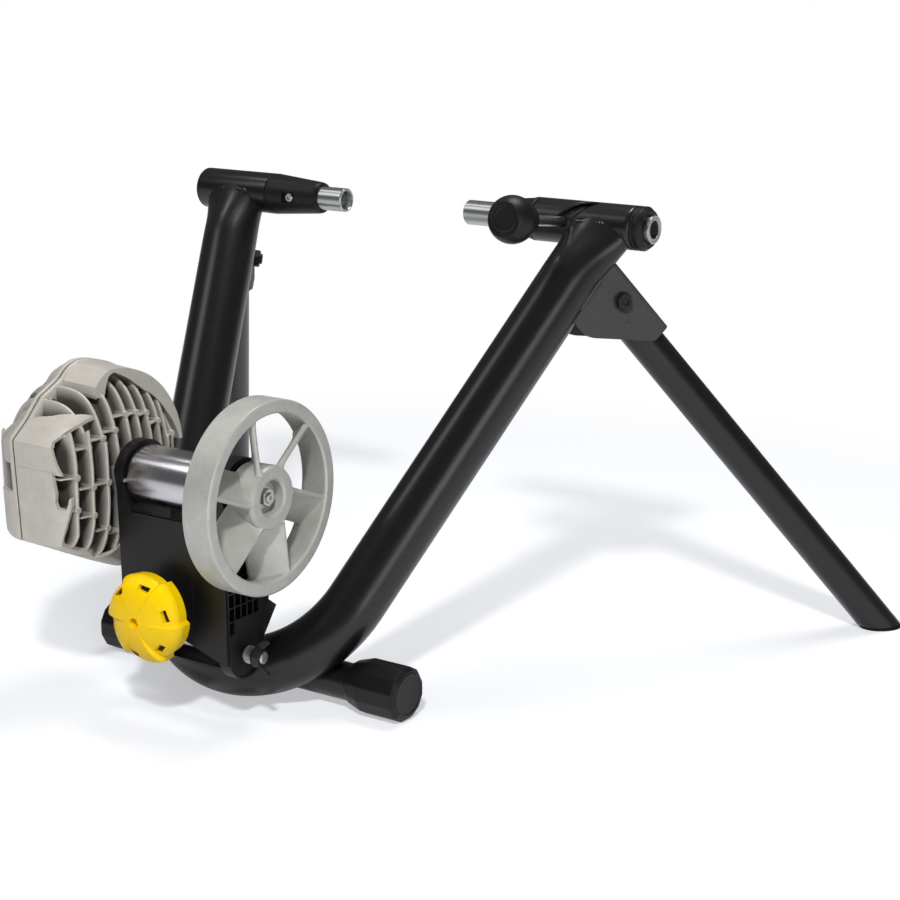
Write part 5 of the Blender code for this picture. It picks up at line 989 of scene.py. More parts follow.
# %% Flywheel
RIM_LOW, RIM_HIGH, RIM_RADIUS, HUB_RADIUS = 0.0596, 0.0874, 0.0790, 0.0265
rim = turned(
    [(RIM_LOW, 0.0712), (RIM_LOW, 0.0765), (RIM_LOW + 0.0020, RIM_RADIUS), (RIM_HIGH - 0.0012, RIM_RADIUS),
     (RIM_HIGH, 0.0772), (RIM_HIGH, 0.0694), (RIM_HIGH - 0.0014, 0.0680), (RIM_HIGH - 0.0040, 0.0680),
     (RIM_LOW + 0.0030, 0.0698), (RIM_LOW, 0.0712)], AT_ROLLER, sides=160, fillet=0.0010)
hub = turned(
    [(RIM_LOW + 0.0010, 0.0061), (RIM_LOW + 0.0010, 0.0258), (RIM_HIGH - 0.0034, HUB_RADIUS),
     (RIM_HIGH - 0.0006, 0.0250), (RIM_HIGH - 0.0006, 0.0160), (RIM_HIGH - 0.0022, 0.0144), (0.0752, 0.0138),
     (0.0752, 0.0061), (RIM_LOW + 0.0010, 0.0061)], AT_ROLLER, sides=96, fillet=0.0014)


def blade(front_angle):
    """A flat bar leaning 45 degrees: round at its front and rear edges, its ends buried in hub and rim.

    A point stands rho out along the blade's own direction and an offset across it, and the offset falls evenly
    from the front of the wheel to the rear. Near the hub and the rim the bar thickens into a fillet.
    """
    front, rear, half_thick = np.array([0.0838, 0.0105]), np.array([0.0625, -0.0115]), 0.0022
    along = (rear - front) / np.linalg.norm(rear - front)
    across = np.array([-along[1], along[0]])
    turn = np.radians(np.linspace(90, -90, 9))[:, None]
    nose = front - along * half_thick * np.cos(turn) + across * half_thick * np.sin(turn)
    tail = rear + along * half_thick * np.cos(turn[::-1]) + across * half_thick * np.sin(turn[::-1])
    loop = np.concatenate([nose, tail])
    share = np.linspace(0, 1, 26)[:, None]
    swell = 1.2 * np.exp(-share / 0.05) + 1.2 * np.exp((share - 1) / 0.05)
    away = (loop - front) @ across
    thick = loop[None] + swell[..., None] * away[None, :, None] * across
    x, offset = thick[..., 0], thick[..., 1]
    inner, outer = np.sqrt(0.0246**2 - offset**2), np.sqrt(0.0705**2 - offset**2)
    rho = inner + (outer - inner) * share
    y = ROLLER_Y + rho * math.cos(front_angle) - offset * math.sin(front_angle)
    z = ROLLER_Z + rho * math.sin(front_angle) + offset * math.cos(front_angle)
    return closed(np.stack([x, y, z], -1))


fan = [blade(math.radians(-22 + 60 * step)) for step in range(6)]
make_piece("fan_flywheel", [rim, hub] + fan, cast_flywheel, "rotor", ["flywheel"], sharp=50)

shaft = turned(
    [(-0.1300, 0), (-0.1300, 0.0060), (0.0748, 0.0060), (0.0748, 0.0040), (0.0836, 0.0040), (0.0842, 0.0034),
     (0.0842, 0.0016), (0.0826, 0.0012), (0.0826, 0)], AT_ROLLER, fillet=0.0003)
make_piece("turned_shaft", [shaft], zinc_plate, "rotor", ["roller_shaft"])
washer = turned([(0.0756, 0.0042), (0.0756, 0.0098), (0.0768, 0.0098), (0.0768, 0.0042), (0.0756, 0.0042)],
                AT_ROLLER, fillet=0.0003)
make_piece("hub_washer", [washer], zinc_plate, "rotor", ["flywheel_washer"])
hub_nut = turned(
    [(0.0769, 0.0041), (0.0769, 0.0078), (0.0815, 0.0078), (0.0824, 0.0068), (0.0824, 0.0044),
     (0.0818, 0.0041), (0.0769, 0.0041)], AT_ROLLER, sides=96, fillet=0.0003, shape=hexagonal(0.013))
make_piece("hub_nut", [hub_nut], zinc_plate, "rotor", ["flywheel_nut"])

# %% [markdown]
# ## The fluid chamber's envelope
# The chamber is two castings that meet at a gasket. Seen along the axle the housing is not round but a polygon
# of flat facets. Toward its inner face it closes like a box with rounded edges: a superellipse, whose power
# says how square it is. Toward the outer face it is a dome. Fins, panels and pads all ask the same envelope.

# %% Envelope
SEAM_X, DOME_START, FACE_X, DOME_RADIUS = -0.1200, -0.1140, -0.0602, 0.0840
OUTER_X, OUTER_RADIUS = -0.1660, 0.0440
FACET_CORNERS = np.array([
    (-105, 2.5), (-92, 3.5), (-34.7, 4.7), (23.6, 0.4), (38, -7.2), (55, -6.0), (75, -5.5), (95, -5.0),
    (115, -5.0), (135, -2.0), (175, 1.5), (215, 1.0), (255, 2.5)])
SQUARENESS = np.array([(-80, 6.0), (-50, 8.0), (10, 9.0), (30, 5.5), (55, 3.4), (255, 3.1)])
ROOF_RADII = np.array([
    (70.5, 70.0), (73.1, 78.2), (78, 81.7), (82.3, 84.6), (87.7, 86.4), (95, 86.2), (110, 85.6), (135, 85.2),
    (174, 85.0)]) / (1, 1000)


def turned_from_rear(angle):
    """An angle in radians as degrees between -105 and 255, measured up from the rear."""
    return (np.degrees(angle) + 105) % 360 - 105


def faceted(radius, angle):
    """The polygon's radius at an angle (radians above the rear), for a dome of this radius.

    It is where a ray crosses the straight side between two corners, which the sine rule gives.
    """
    degrees = turned_from_rear(angle)
    passed = np.searchsorted(FACET_CORNERS[:, 0], degrees, side="right")
    sector = np.clip(passed - 1, 0, len(FACET_CORNERS) - 2)
    start, end = np.radians(FACET_CORNERS[sector, 0]), np.radians(FACET_CORNERS[sector + 1, 0])
    first = radius + FACET_CORNERS[sector, 1] / 1000
    last = radius + FACET_CORNERS[sector + 1, 1] / 1000
    turn = np.radians(degrees)
    return first * last * np.sin(end - start) / (first * np.sin(turn - start) + last * np.sin(end - turn))


def envelope(x, angle):
    """The housing's radius at a place along the axle.

    On the inner half it is the polygon's radius times the square root of 1 minus a share to a power. On the
    outer half the dome shrinks with the share to the power 2.3.
    """
    power = np.interp(turned_from_rear(angle), *SQUARENESS.T)
    inner = np.clip((x - DOME_START) / (FACE_X - DOME_START), 0, 1)
    outer = np.clip((SEAM_X - x) / (SEAM_X - OUTER_X), 0, 1)
    squared = faceted(DOME_RADIUS, angle) * np.sqrt(1 - inner**power)
    domed = faceted(DOME_RADIUS - (DOME_RADIUS - OUTER_RADIUS) * outer**2.3, angle)
    return np.where(x > SEAM_X, squared, domed)


def seam_radius(angle):
    """The outline at the seam: the polygon, and over the top the roof's own outline."""
    degrees = turned_from_rear(angle)
    over_roof = np.interp(degrees, *ROOF_RADII.T)
    return np.where((degrees > 72) & (degrees < 174), over_roof, faceted(DOME_RADIUS, angle))


def on_housing(x, radius, angle):
    """Places in space from x, a radius and an angle above the rear."""
    x, radius, angle = np.broadcast_arrays(x, radius, angle)
    return np.stack([x, ROLLER_Y - radius * np.cos(angle), ROLLER_Z + radius * np.sin(angle)], -1)


print("at the seam the housing reaches", round(1000 * float(seam_radius(0.0)), 1), "mm to the rear")

# %% [markdown]
# ## Fins
# A fin stands in a plane across the bicycle, at a sideways offset d from the axle line. Its edge is where that
# plane meets the envelope: a height z with d² + z² = r², solved by a few rounds of substitution because the
# facets make r depend on the angle. A rounded section is then carried along the edge, toward the middle.

# %% Fins
FIN_PLACES = np.array([-60, -45, -29, -15, 0, 13, 26, 40, 53, 66]) / 1000


def height_at(offset, x, lower):
    """The envelope's height above the axle line at a sideways offset; lower is -1 for the underside."""
    height = np.sqrt(np.clip(0.070**2 - offset**2 + 0 * x, 1e-9, None))
    for _ in range(10):
        wanted = envelope(x, np.arctan2(lower * height, -offset)) - 0.0006
        height = np.sqrt(np.clip(wanted**2 - offset**2, 1e-9, None))
    return height


def fin_edge(offset, x_of):
    """The fin's edge from the seam over the top to the end face, and the same below, as (x, z)."""
    share = np.linspace(0, 1, 48)
    x = x_of(1 - (1 - share) ** 1.6)
    above, below = height_at(offset, x, 1), height_at(offset, x, -1)
    kept = (above > 0.004) & (below > 0.004)
    x, above, below = x[kept], above[kept], below[kept]
    upright = np.linspace(0.92, -0.92, 13)
    face = np.stack([0 * upright + x[-1], np.where(upright > 0, above[-1], below[-1]) * upright], 1)
    return np.concatenate([np.stack([x, above], 1), face, np.stack([x, -below], 1)[::-1]])


def fin_body(offset, edge, depth=0.026, tip=0.0016, root=0.0025):
    """The fin: a section with a round tip, a little thicker toward its root, carried along the edge."""
    turn = np.radians(np.linspace(90, 0, 5))
    fall = np.concatenate([tip * (1 - np.sin(turn)), np.linspace(tip, depth, 7)[1:]])
    half = np.concatenate([tip * np.cos(turn), np.linspace(tip, root, 7)[1:]])
    fall, half = np.concatenate([fall, fall[::-1][:-1]]), np.concatenate([half, -half[::-1][:-1]])
    middle = np.array([SEAM_X, 0.0])
    arm = edge - middle
    length = np.linalg.norm(arm, axis=1, keepdims=True)
    reach = np.minimum(fall[None, :], 0.97 * length)
    spot = middle + arm[:, None] * (1 - reach / length)[..., None]
    across = ROLLER_Y + offset + half[None, :] + 0 * reach
    return closed(np.stack([spot[..., 0], across, ROLLER_Z + spot[..., 1]], -1))


def inner_x(share):
    """From the seam to the inner face, in steps that grow shorter where the envelope turns over."""
    start = SEAM_X + 0.0015
    return start + (FACE_X - start) * np.sin(share * math.pi / 2)


def outer_x(share):
    """From the seam to the outer face, in even steps."""
    start = SEAM_X - 0.0015
    return start + (OUTER_X - start) * share


inner_fins = [fin_body(offset, fin_edge(offset, inner_x)) for offset in FIN_PLACES]
outer_fins = [fin_body(offset, fin_edge(offset, outer_x)) for offset in FIN_PLACES]
print("fins:", len(inner_fins), "on the inner casting and", len(outer_fins), "on the outer")


CHAMBER_BORE = 0.0520
seam_turn = np.linspace(0, math.tau, 240, endpoint=False)


def flange(low, high, rounding=0.0006):
    """A polygonal rim at the seam between two places along the axle, its outer edges rounded a little."""
    rim, bore = seam_radius(seam_turn) + 0.0008, CHAMBER_BORE + 0 * seam_turn
    places = np.array([low, low, low + rounding, high - rounding, high, high])
    radii = np.stack([bore, rim - rounding, rim, rim, rim - rounding, bore])
    return grid(on_housing(places[:, None], radii, seam_turn[None, :]), around=True, along=True)


inner_core = turned(
    [(-0.1192, CHAMBER_BORE), (-0.1192, 0.0605), (-0.0840, 0.0590), (-0.0770, 0.0480), (-0.0770, 0.0185),
     (-0.0574, 0.0180), (-0.0574, 0.0090), (-0.0815, 0.0090), (-0.0815, 0.0135), (-0.0890, 0.0135),
     (-0.0890, 0.0480), (-0.0930, CHAMBER_BORE), (-0.1192, CHAMBER_BORE)], AT_ROLLER, sides=96, fillet=0.0020)
outer_core = turned(
    [(-0.1208, CHAMBER_BORE), (-0.1208, 0.0605), (-0.1480, 0.0560), (-0.1560, 0.0420), (-0.1560, 0),
     (-0.1460, 0), (-0.1460, 0.0440), (-0.1410, CHAMBER_BORE), (-0.1208, CHAMBER_BORE)], AT_ROLLER, sides=96,
    fillet=0.0020)

# %% [markdown]
# ## Panels
# Claw-shaped panels lie over the fins. A panel is one interval of x for every angle, so its grid runs from the
# low to the high edge in each row, a little above the envelope, and a second grid below it closes the wall.

# %% Panels
def proud_of(angle, x):
    """The usual top of a panel: a little outside the envelope."""
    return envelope(x, angle) + 0.0012


def slab_top(angle, x):
    """The top of a thicker panel on the outer half, which follows the seam and falls away slowly."""
    return seam_radius(angle) - 3.2 * (SEAM_X - x) ** 1.5


def shell(low_edge, high_edge, top_of=proud_of, wall=0.0034, under_of=None, rows=60, columns=18):
    """A panel between two edges, each a list of (angle above the rear in degrees, x)."""
    low_edge, high_edge = np.array(low_edge), np.array(high_edge)
    start = max(low_edge[0, 0], high_edge[0, 0])
    end = min(low_edge[-1, 0], high_edge[-1, 0])
    knots = np.concatenate([
        np.linspace(start, end, rows), low_edge[:, 0], high_edge[:, 0], FACET_CORNERS[:, 0], ROOF_RADII[:, 0]])
    degrees = np.unique(np.round(knots[(knots >= start) & (knots <= end)], 3))
    low, high = np.interp(degrees, *low_edge.T), np.interp(degrees, *high_edge.T)
    share = np.linspace(0, 1, columns)[None, :]
    x = low[:, None] + (np.maximum(high, low + 1e-4) - low)[:, None] * share
    angle = np.radians(degrees)[:, None] + 0 * x
    over = top_of(angle, x)
    below = under_of(angle, x) if under_of else over - wall
    top, under = on_housing(x, over, angle), on_housing(x, below, angle)
    rim = np.concatenate([top, under[:, ::-1]], 1)
    return [grid(rim, around=True), grid(np.stack([top[0], under[0]])), grid(np.stack([under[-1], top[-1]]))]


def roof_top(angle, x):
    """The roof's outline at the seam, falling slightly toward its inner end and fast toward its outer end."""
    fall = 0.0026 * np.clip((x - SEAM_X) / 0.040, 0, 1) + 0.0083 * np.clip((SEAM_X - x) / 0.0200, 0, 1) ** 1.5
    return np.interp(turned_from_rear(angle), *ROOF_RADII.T) - fall


ROOF_UNDERSIDE = np.array([
    (70.5, 68.0), (77, 63.0), (80, 64.9), (83, 72.4), (86, 78.8), (90.5, 81.0), (98, 77.2), (112, 71.1),
    (120, 69.2), (150, 72.0), (174, 79.0)]) / (1, 1000)


def roof_under(angle, x):
    """The arch under the roof, never closer than 3 mm to its top."""
    arch = np.interp(turned_from_rear(angle), *ROOF_UNDERSIDE.T)
    return np.minimum(arch, roof_top(angle, x) - 0.0030)


SEAM_EDGE, OUTER_EDGE = SEAM_X + 0.0022, SEAM_X - 0.0022
upper_claw = shell(
    [(7.8, -0.0730), (9.2, -0.0820), (9.8, SEAM_EDGE), (39.0, SEAM_EDGE), (41.0, -0.1104), (43.8, -0.0946),
     (49.8, -0.0798), (57.5, -0.0732)],
    [(7.8, -0.0716), (11.5, -0.0736), (15.5, -0.0758), (19.5, -0.0774), (24.5, -0.0790), (27.0, -0.0808),
     (31.2, -0.0792), (36.0, -0.0778), (44.8, -0.0748), (57.5, -0.0727)], rows=80, columns=26)
lower_claw = shell(
    [(-64.8, -0.0816), (-58, -0.0840), (-50.0, -0.1100), (-46, SEAM_EDGE), (9.5, SEAM_EDGE)],
    [(-64.8, -0.0790), (-56.2, -0.0738), (-45, -0.0760), (-40, -0.0762), (-33, -0.0756), (-28.2, -0.0730),
     (-22.2, -0.0706), (-15.4, -0.0700), (-14.8, -0.0728), (-13.2, -0.0766), (-9.8, -0.0778), (-4.2, -0.0768),
     (1.2, -0.0776), (9.5, -0.0786)], rows=90, columns=26)
claw_tip = shell(
    [(-22.2, -0.0712), (-15.0, -0.0704), (-8.2, -0.0690)], [(-22.2, -0.0706), (-14, -0.0684), (-8.2, -0.0682)],
    columns=6)
roof = shell(
    [(71, SEAM_EDGE), (174, SEAM_EDGE)],
    [(71, -0.0790), (82, -0.0795), (95, -0.0800), (120, -0.0790), (174, -0.0800)],
    roof_top, under_of=roof_under, rows=120)
floor_panel = shell(
    [(-104, SEAM_EDGE), (-46, SEAM_EDGE)],
    [(-104, -0.0668), (-93, -0.0660), (-80, -0.0668), (-66, -0.0790), (-60, -0.0900), (-46, -0.1170)], rows=70)
outer_upper = shell([(10, -0.1420), (46, -0.1400)], [(10, OUTER_EDGE), (46, OUTER_EDGE)], slab_top)
outer_lower = shell([(-44, -0.1400), (-30, -0.1440), (-8, -0.1420)], [(-44, OUTER_EDGE), (-8, OUTER_EDGE)])
outer_roof = shell(
    [(71, -0.1380), (86, -0.1400), (150, -0.1380)], [(71, OUTER_EDGE), (150, OUTER_EDGE)], roof_top,
    wall=0.0060)

# %% [markdown]
# The casting also shows where pins pushed it out of its die: a small round pad on the edge of each fin, with a
# thin web to the next fin behind. They are real forms and not bump, because they stand out against the dark
# gaps. The recess share made here is kept as the depth attribute, which paints shade into those gaps.

# %% Ejector pads
PADS = np.array([
    (-45, 28.5), (-29, 33), (-15, 37), (0, 47), (13, 46), (26, 43), (40, 33.5), (66, 16), (-60, 6.5),
    (-45, -4), (-29, -3.3), (-60, -21), (-45, -28), (-29, -43), (-15, -48.6)]) / 1000


def face_place(offset, height):
    """The x of the envelope above a point seen along the axle: the superellipse solved for x."""
    angle = np.arctan2(height, -offset)
    power = np.interp(turned_from_rear(angle), *SQUARENESS.T)
    share = np.clip(np.hypot(offset, height) / faceted(DOME_RADIUS, angle), 0, 1)
    return DOME_START + (FACE_X - DOME_START) * (1 - share**2) ** (1 / power)


def recess(places):
    """How deep a point lies under the envelope, as a share of 8 mm, for the painted shade: the nearer of its
    side and its face.
    """
    x, offset, height = (places - (0, ROLLER_Y, ROLLER_Z)).T
    under_side = envelope(x, np.arctan2(height, -offset)) - np.hypot(offset, height)
    under_face = np.where(x > SEAM_X, face_place(offset, height) - x, 1)
    return np.clip((np.minimum(under_side, under_face) - 0.0008) / 0.0080, 0, 1) ** 0.9


pads = []
for offset, height in PADS:
    top = face_place(offset, height)
    at = (ROLLER_Y + offset, ROLLER_Z + height)
    pads.append(turned(
        [(top - 0.016, 0), (top - 0.016, 0.0031), (top + 0.0004, 0.0029), (top + 0.0004, 0)], at, sides=28,
        fillet=0.0005))
    before = face_place(offset - 0.012, height)
    web = [(at[0] - 0.0125, before - 0.0010), (at[0], top - 0.0012), (at[0], top - 0.0130),
           (at[0] - 0.0125, top - 0.0130)]
    pads.append(plate([[(x, y) for y, x in web]], at[1] - 0.0006, at[1] + 0.0006, "Z"))

inner_flange, outer_flange = flange(-0.1192, -0.1150), flange(-0.1250, -0.1208)
make_piece("inner_housing_fins", inner_fins + [inner_core, inner_flange] + pads, cast_aluminium,
           "resistance_unit", ["inner_housing"], sharp=50, depth_of=recess)
make_piece("inner_housing_panels", upper_claw + lower_claw + claw_tip + roof + floor_panel, cast_aluminium,
           "resistance_unit", [], bevel=0.0006, sharp=12)
make_piece("outer_housing_fins", outer_fins + [outer_core, outer_flange], cast_aluminium,
           "resistance_unit", ["outer_housing"], sharp=50, depth_of=recess)
make_piece("outer_housing_panels", outer_upper + outer_lower + outer_roof, cast_aluminium,
           "resistance_unit", [], bevel=0.0006, sharp=12)
seal_rim, seal_bore = seam_radius(seam_turn) - 0.0002, CHAMBER_BORE + 0.0004 + 0 * seam_turn
seal_places = SEAM_X + 0.0005 * np.array([-1, -1, 1, 1])
seal_radii = np.stack([seal_bore, seal_rim, seal_rim, seal_bore])
gasket = grid(on_housing(seal_places[:, None], seal_radii, seam_turn[None, :]), around=True, along=True)
make_piece("seam_gasket", [gasket], black_rubber, "resistance_unit", ["housing_gasket"])

# %% [markdown]
# ## The tension knob
# The knob is a dome of six petals that overlap like a camera's shutter. On each petal the rim swells slowly
# with the angle and falls back in a short step, and the step fades toward the middle. Six bent plates would
# never close, so one grid does it, whose radius depends on the angle. A slot beside each step, cut as a plain
# block, shows the black clutch inside.

# %% Knob
RIM_Y, APEX_Y, SKIRT_Y = -0.3635, -0.3810, -0.3545
FIRST_STEP, PETAL, STEP_START = 64.0, 60.0, 0.93

# How far through its petal each line of the knob is: the petal grows up to STEP_START and falls back after it.
per_petal = np.concatenate([np.linspace(0, STEP_START, 26), [0.955, 0.975, 0.99]])
through = np.tile(per_petal, 6)
angle = np.radians(FIRST_STEP + PETAL * (np.arange(6)[:, None] + per_petal[None, :]).ravel())
swell = np.where(through <= STEP_START, through / STEP_START, (1 - through) / (1 - STEP_START))
rim_radius = 0.0346 + 0.0036 * swell


def knob_row(share, y, lift=0.0):
    """A ring of the knob: a share of the rim's radius; lift raises each petal toward its step."""
    radius = rim_radius * share if np.isscalar(share) else share
    x, z = TENSION_X + radius * np.cos(angle), TENSION_Z + radius * np.sin(angle)
    return np.stack([x, y - lift * swell, z], -1)


dome_height = RIM_Y - APEX_Y
dome_rows = []
for share in np.linspace(0.985, 0.16, 26):
    lift = 0.0018 * np.clip((share - 0.25) / 0.5, 0, 1)
    dome_rows.append(knob_row(share, RIM_Y - dome_height * math.sqrt(1 - share**2), lift))
edge_rows = [knob_row(0.955, SKIRT_Y), knob_row(0.972, SKIRT_Y - 0.0004), knob_row(0.985, RIM_Y + 0.0030),
             knob_row(0.995, RIM_Y + 0.0005), knob_row(1.0, RIM_Y - 0.0008)]
eye = [0.0046, 0.0043, 0.0042, 0.0040]
eye_fall = [0.0001, 0.0004, 0.0012, 0.0060]
eye_rows = [knob_row(radius + 0 * angle, APEX_Y + fall) for radius, fall in zip(eye, eye_fall)]
inside_rows = [knob_row(1e-6 + 0 * angle, APEX_Y + 0.0060)]
knob_points = np.stack(edge_rows + dome_rows + eye_rows + inside_rows)
boss = [(1e-6, 0.0118), (0.0055, 0.0118), (0.0055, 0.0170), (0.0120, 0.0170), (0.0130, 0.0050)]
boss_rows = [knob_row(radius + 0 * angle, APEX_Y + fall) for radius, fall in boss]
under_rows = [knob_row(0.93 * share, RIM_Y + 0.0010 - (dome_height - 0.0025) * math.sqrt(1 - share**2))
              for share in (0.5, 0.7, 0.85, 1.0)]
inner_points = np.stack(boss_rows + under_rows + [knob_row(0.93, SKIRT_Y), knob_row(0.955, SKIRT_Y)])
window = box((0.0264, APEX_Y + 0.0010, -0.0050), (0.0310, RIM_Y + 0.0040, 0.0050))
slots = []
for step in range(6):
    turn = math.radians(18 + PETAL * step)
    spin_y = np.array([[math.cos(turn), 0, -math.sin(turn)], [0, 1, 0], [math.sin(turn), 0, math.cos(turn)]])
    slots.append(moved(window, spin_y, (TENSION_X, 0, TENSION_Z)))
make_piece("petal_knob", [grid(knob_points, around=True), grid(inner_points, around=True)], knob_yellow,
           "tension_screw", ["tension_knob"], cut=slots, sharp=34)
# A thin black cone behind the slots, as the clutch's drum shows there.
lining = turned(
    [(-0.3724, 0.0235), (-0.3709, 0.0265), (-0.3688, 0.0295), (-0.3653, 0.0325), (-0.3643, 0.0320),
     (-0.3678, 0.0287), (-0.3699, 0.0258), (-0.3714, 0.0228), (-0.3724, 0.0235)], AT_TENSION, "Y", sides=96)
make_piece("slot_lining", [lining], black_plastic, "tension_screw", [])

# %% [markdown]
# ## Pivot
# The yoke swings on a long bolt. A spring and a wing nut of dark steel sit on its right end. A Screw modifier
# would leave the wire's ends open, so the spring is a circle carried along a helix and closed at both ends.

# %% Pivot hardware
bolt = turned(
    [(-0.0678, 0), (-0.0678, 0.0048), (-0.0668, 0.0066), (-0.0640, 0.0078), (-0.0623, 0.0078),
     (-0.0623, 0.0050), (0.0745, 0.0050), (0.0755, 0.0040), (0.0755, 0)], AT_PIVOT, fillet=0.0005)
make_piece("yoke_pivot_bolt", [bolt], zinc_plate, "frame", ["pivot_bolt"])


def coil(start, end, radius, wire, turns):
    """A round wire along a helix about the pivot, closed at both ends."""
    step = np.linspace(0, 1, 44 * turns)[:, None]
    spin = math.tau * turns * step
    outward = np.concatenate([0 * spin, np.cos(spin), np.sin(spin)], 1)
    middle = [start + (end - start) * step, 0 * step + PIVOT_Y, 0 * step + PIVOT_Z]
    centre = outward * radius + np.concatenate(middle, 1)
    around = np.linspace(0, math.tau, 12, endpoint=False)[None, :, None]
    return closed(centre[:, None] + wire * (np.cos(around) * outward[:, None] + np.sin(around) * X_AXIS))


make_piece("pivot_coil", [coil(0.0580, 0.0655, 0.0067, 0.0007, 4)], zinc_plate, "frame", ["pivot_spring"])
wing_hub = turned([(0.0665, 0.0051), (0.0665, 0.0088), (0.0680, 0.0090), (0.0730, 0.0070), (0.0730, 0.0051),
                   (0.0665, 0.0051)], AT_PIVOT, fillet=0.0006)
wing_outline = [(0.0668, 0.0058), (0.0712, 0.0058), (0.0745, 0.0085), (0.0798, 0.0128), (0.0796, 0.0152),
                (0.0770, 0.0158), (0.0735, 0.0150), (0.0690, 0.0110)]
wing_outline = filleted(wing_outline + wing_outline[:1], 0.0012, 3)[:-1]
wings = [plate([(0, PIVOT_Z) + wing_outline * (1, side)], PIVOT_Y - 0.0016, PIVOT_Y + 0.0016, "Y")
         for side in (1, -1)]
make_piece("dark_wing_nut", [wing_hub] + wings, black_steel, "wing_nut", ["wing_nut"], bevel=0.0005)

# %% [markdown]
# ## The left nose
# The bush in the left bar tapers a little and ends in a plain lip. A window in its rear shows the screw that
# holds the spindle. Here a Boolean is the right tool: the window is a plain block through a closed wall.

# %% Left nose
SCREW_X = -0.1310
left_nose = turned(
    [(-0.1672, BUSH_BORE), (-0.1672, 0.0168), (-0.1592, 0.0168), (-0.1592, CROSSBAR_RADIUS),
     (-0.1560, CROSSBAR_RADIUS), (-0.1470, 0.0183), (-0.1055, 0.0148), (-0.1027, 0.0140), (-0.1027, BUSH_BORE),
     (-0.1672, BUSH_BORE)], AT_AXLE, sides=96, fillet=0.0010)
window = box((SCREW_X - 0.0080, -0.0300, AXLE_HEIGHT - 0.0050),
             (SCREW_X + 0.0080, -0.0145, AXLE_HEIGHT + 0.0050))
screw_hole = turned(
    [(-0.0300, 0), (-0.0300, 0.0043), (-0.0105, 0.0043), (-0.0105, 0)], (SCREW_X, AXLE_HEIGHT), "Y", sides=48)
make_piece("left_nose", [left_nose], black_plastic, "frame", ["left_nose_bush"], bevel=0.0004,
           cut=[window, screw_hole])
set_screw = turned(
    [(-0.0113, 0), (-0.0113, 0.0040), (-0.0162, 0.0040), (-0.0170, 0.0032), (-0.0170, 0.0018),
     (-0.0156, 0.0015), (-0.0156, 0)], (SCREW_X, AXLE_HEIGHT), "Y", sides=40, fillet=0.0003)
make_piece("holding_screw", [set_screw], zinc_plate, "frame", ["left_set_screw"])

# %% [markdown]
# ## Floor, light and world
# The floor is plain and pale. Far from the trainer it turns into a white that glows by itself, so that no
# horizon shows, and near it stays a real surface that takes the shadow. Large soft lamps stand to the sides
# and above, as in a product studio: long lamps draw the long highlights along the black tubes. The key lamp
# is small, so its shadow has an edge. It is hidden from reflections, where it would show as a hot spot.

# %% Floor
FLOOR_REACH, TURNS_WHITE, ALL_WHITE = 12.0, 0.64, 1.02
floor_mesh = bpy.data.meshes.new("floor")
corners = [(-1, -1, 0), (1, -1, 0), (1, 1, 0), (-1, 1, 0)]
floor_mesh.from_pydata((FLOOR_REACH * np.array(corners)).tolist(), [], [(0, 1, 2, 3)])
floor = bpy.data.objects.new("floor", floor_mesh)
scene.collection.objects.link(floor)

paper = Finish("floor_paper")
paper.tree.nodes.remove(paper.shader)
seen = paper.node("ShaderNodeLightPath")
direct = Field(paper, seen.outputs["Is Camera Ray"]) + 0.5 * Field(paper, seen.outputs["Is Glossy Ray"])
direct = direct + Field(paper, seen.outputs["Is Transmission Ray"])
away = paper.field("ShaderNodeVectorMath", {"operation": "LENGTH"}, {0: paper.place}, "Value")
far_off = paper.between(away, TURNS_WHITE, ALL_WHITE)
matt = paper.node("ShaderNodeBsdfDiffuse", None, {"Color": srgb(202, 204, 208)})
glow = paper.node("ShaderNodeEmission", None, {"Color": (1, 1, 1, 1), "Strength": 1.0})
faint = paper.node("ShaderNodeEmission", None, {"Color": (0.97, 0.98, 1.0, 1), "Strength": 0.47})
lifted = paper.node("ShaderNodeAddShader", None, {0: matt.outputs[0], 1: faint.outputs[0]})
faded = paper.node("ShaderNodeMixShader", None, {0: far_off, 1: lifted.outputs[0], 2: glow.outputs[0]})
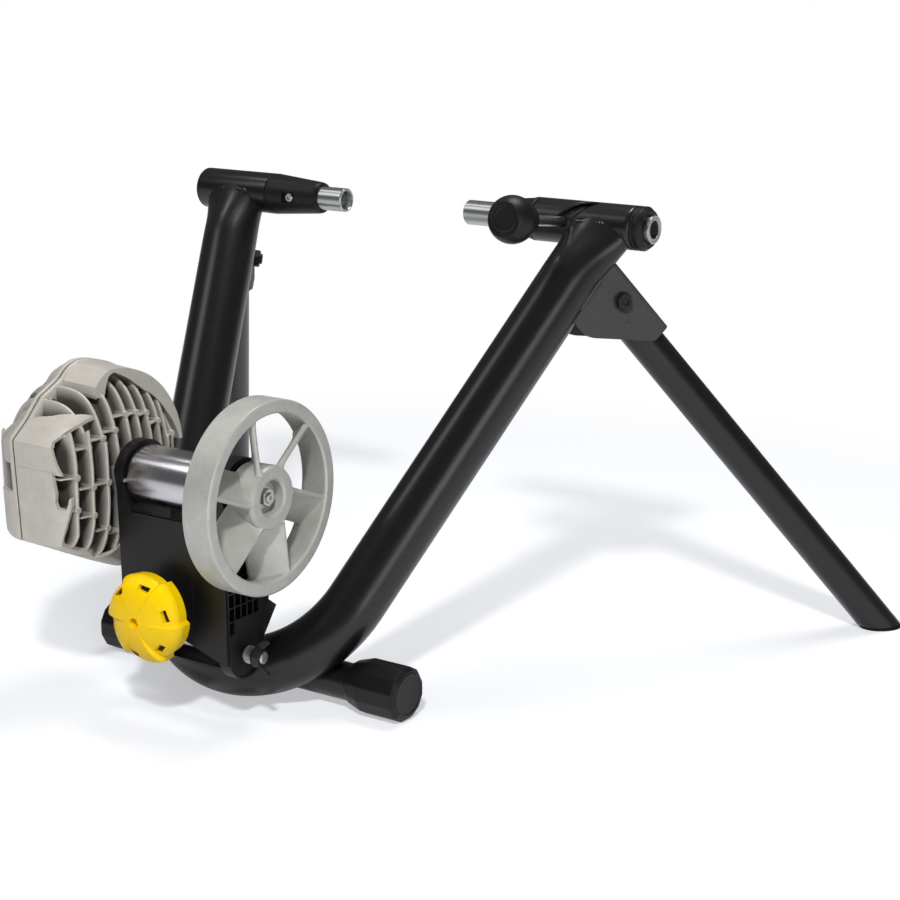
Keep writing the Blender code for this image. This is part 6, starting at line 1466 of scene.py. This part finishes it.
shown = paper.node("ShaderNodeMixShader", None, {0: direct, 1: matt.outputs[0], 2: faded.outputs[0]})
paper.feed(paper.tree.nodes["Material Output"].inputs["Surface"], shown.outputs[0])
floor_mesh.materials.append(paper.material)

# %% World and lamps
world = bpy.data.worlds.new("studio")
scene.world = world
world.use_nodes = True
nodes, links = world.node_tree.nodes, world.node_tree.links
background = nodes["Background"]
path = nodes.new("ShaderNodeLightPath")
strength = nodes.new("ShaderNodeMix")
ON_THE_OBJECT, SEEN_BEHIND = 0.11, 1.0
strength.inputs[2].default_value, strength.inputs[3].default_value = ON_THE_OBJECT, SEEN_BEHIND
links.new(path.outputs["Is Camera Ray"], strength.inputs[0])
links.new(strength.outputs[0], background.inputs["Strength"])
background.inputs["Color"].default_value = (1, 1, 1, 1)


def lamp(name, place, aim, size, power):
    """A rectangular soft lamp at a place, turned to shine at aim."""
    data = bpy.data.lights.new(name, "AREA")
    data.shape, data.size, data.size_y, data.energy = "RECTANGLE", *size, power
    made = bpy.data.objects.new(name, data)
    scene.collection.objects.link(made)
    place, aim = np.asarray(place, float), np.asarray(aim, float)
    backward = (place - aim) / np.linalg.norm(place - aim)
    sideways = np.cross((0.0, 0.0, 1.0), backward)
    sideways = sideways / np.linalg.norm(sideways)
    turn = np.eye(4)
    turn[:3, :] = np.stack([sideways, np.cross(backward, sideways), backward, place], -1)
    made.matrix_world = Matrix(turn.tolist())
    print(name, power, "W,", size, "m")
    return made


key = lamp("key", (1.0, -1.70, 1.98), (0, 0, 0), (0.2, 0.2), 50)
key.visible_glossy = False
lamp("overhead", (0.1, 0.55, 2.3), (0, 0, 0.1), (1.0, 0.8), 23)
lamp("right_softbox", (2.10, -1.00, 0.60), (0.1, -0.05, 0.2), (0.60, 1.10), 6.5)
lamp("left_softbox", (-1.15, -1.00, 1.80), (0, -0.1, 0.2), (0.60, 0.70), 3.2)
lamp("rear_left_lamp", (-1.31, -0.05, 2.20), (0, -0.2, 0.2), (0.20, 0.20), 1.6)
scene.view_settings.view_transform = "Standard"
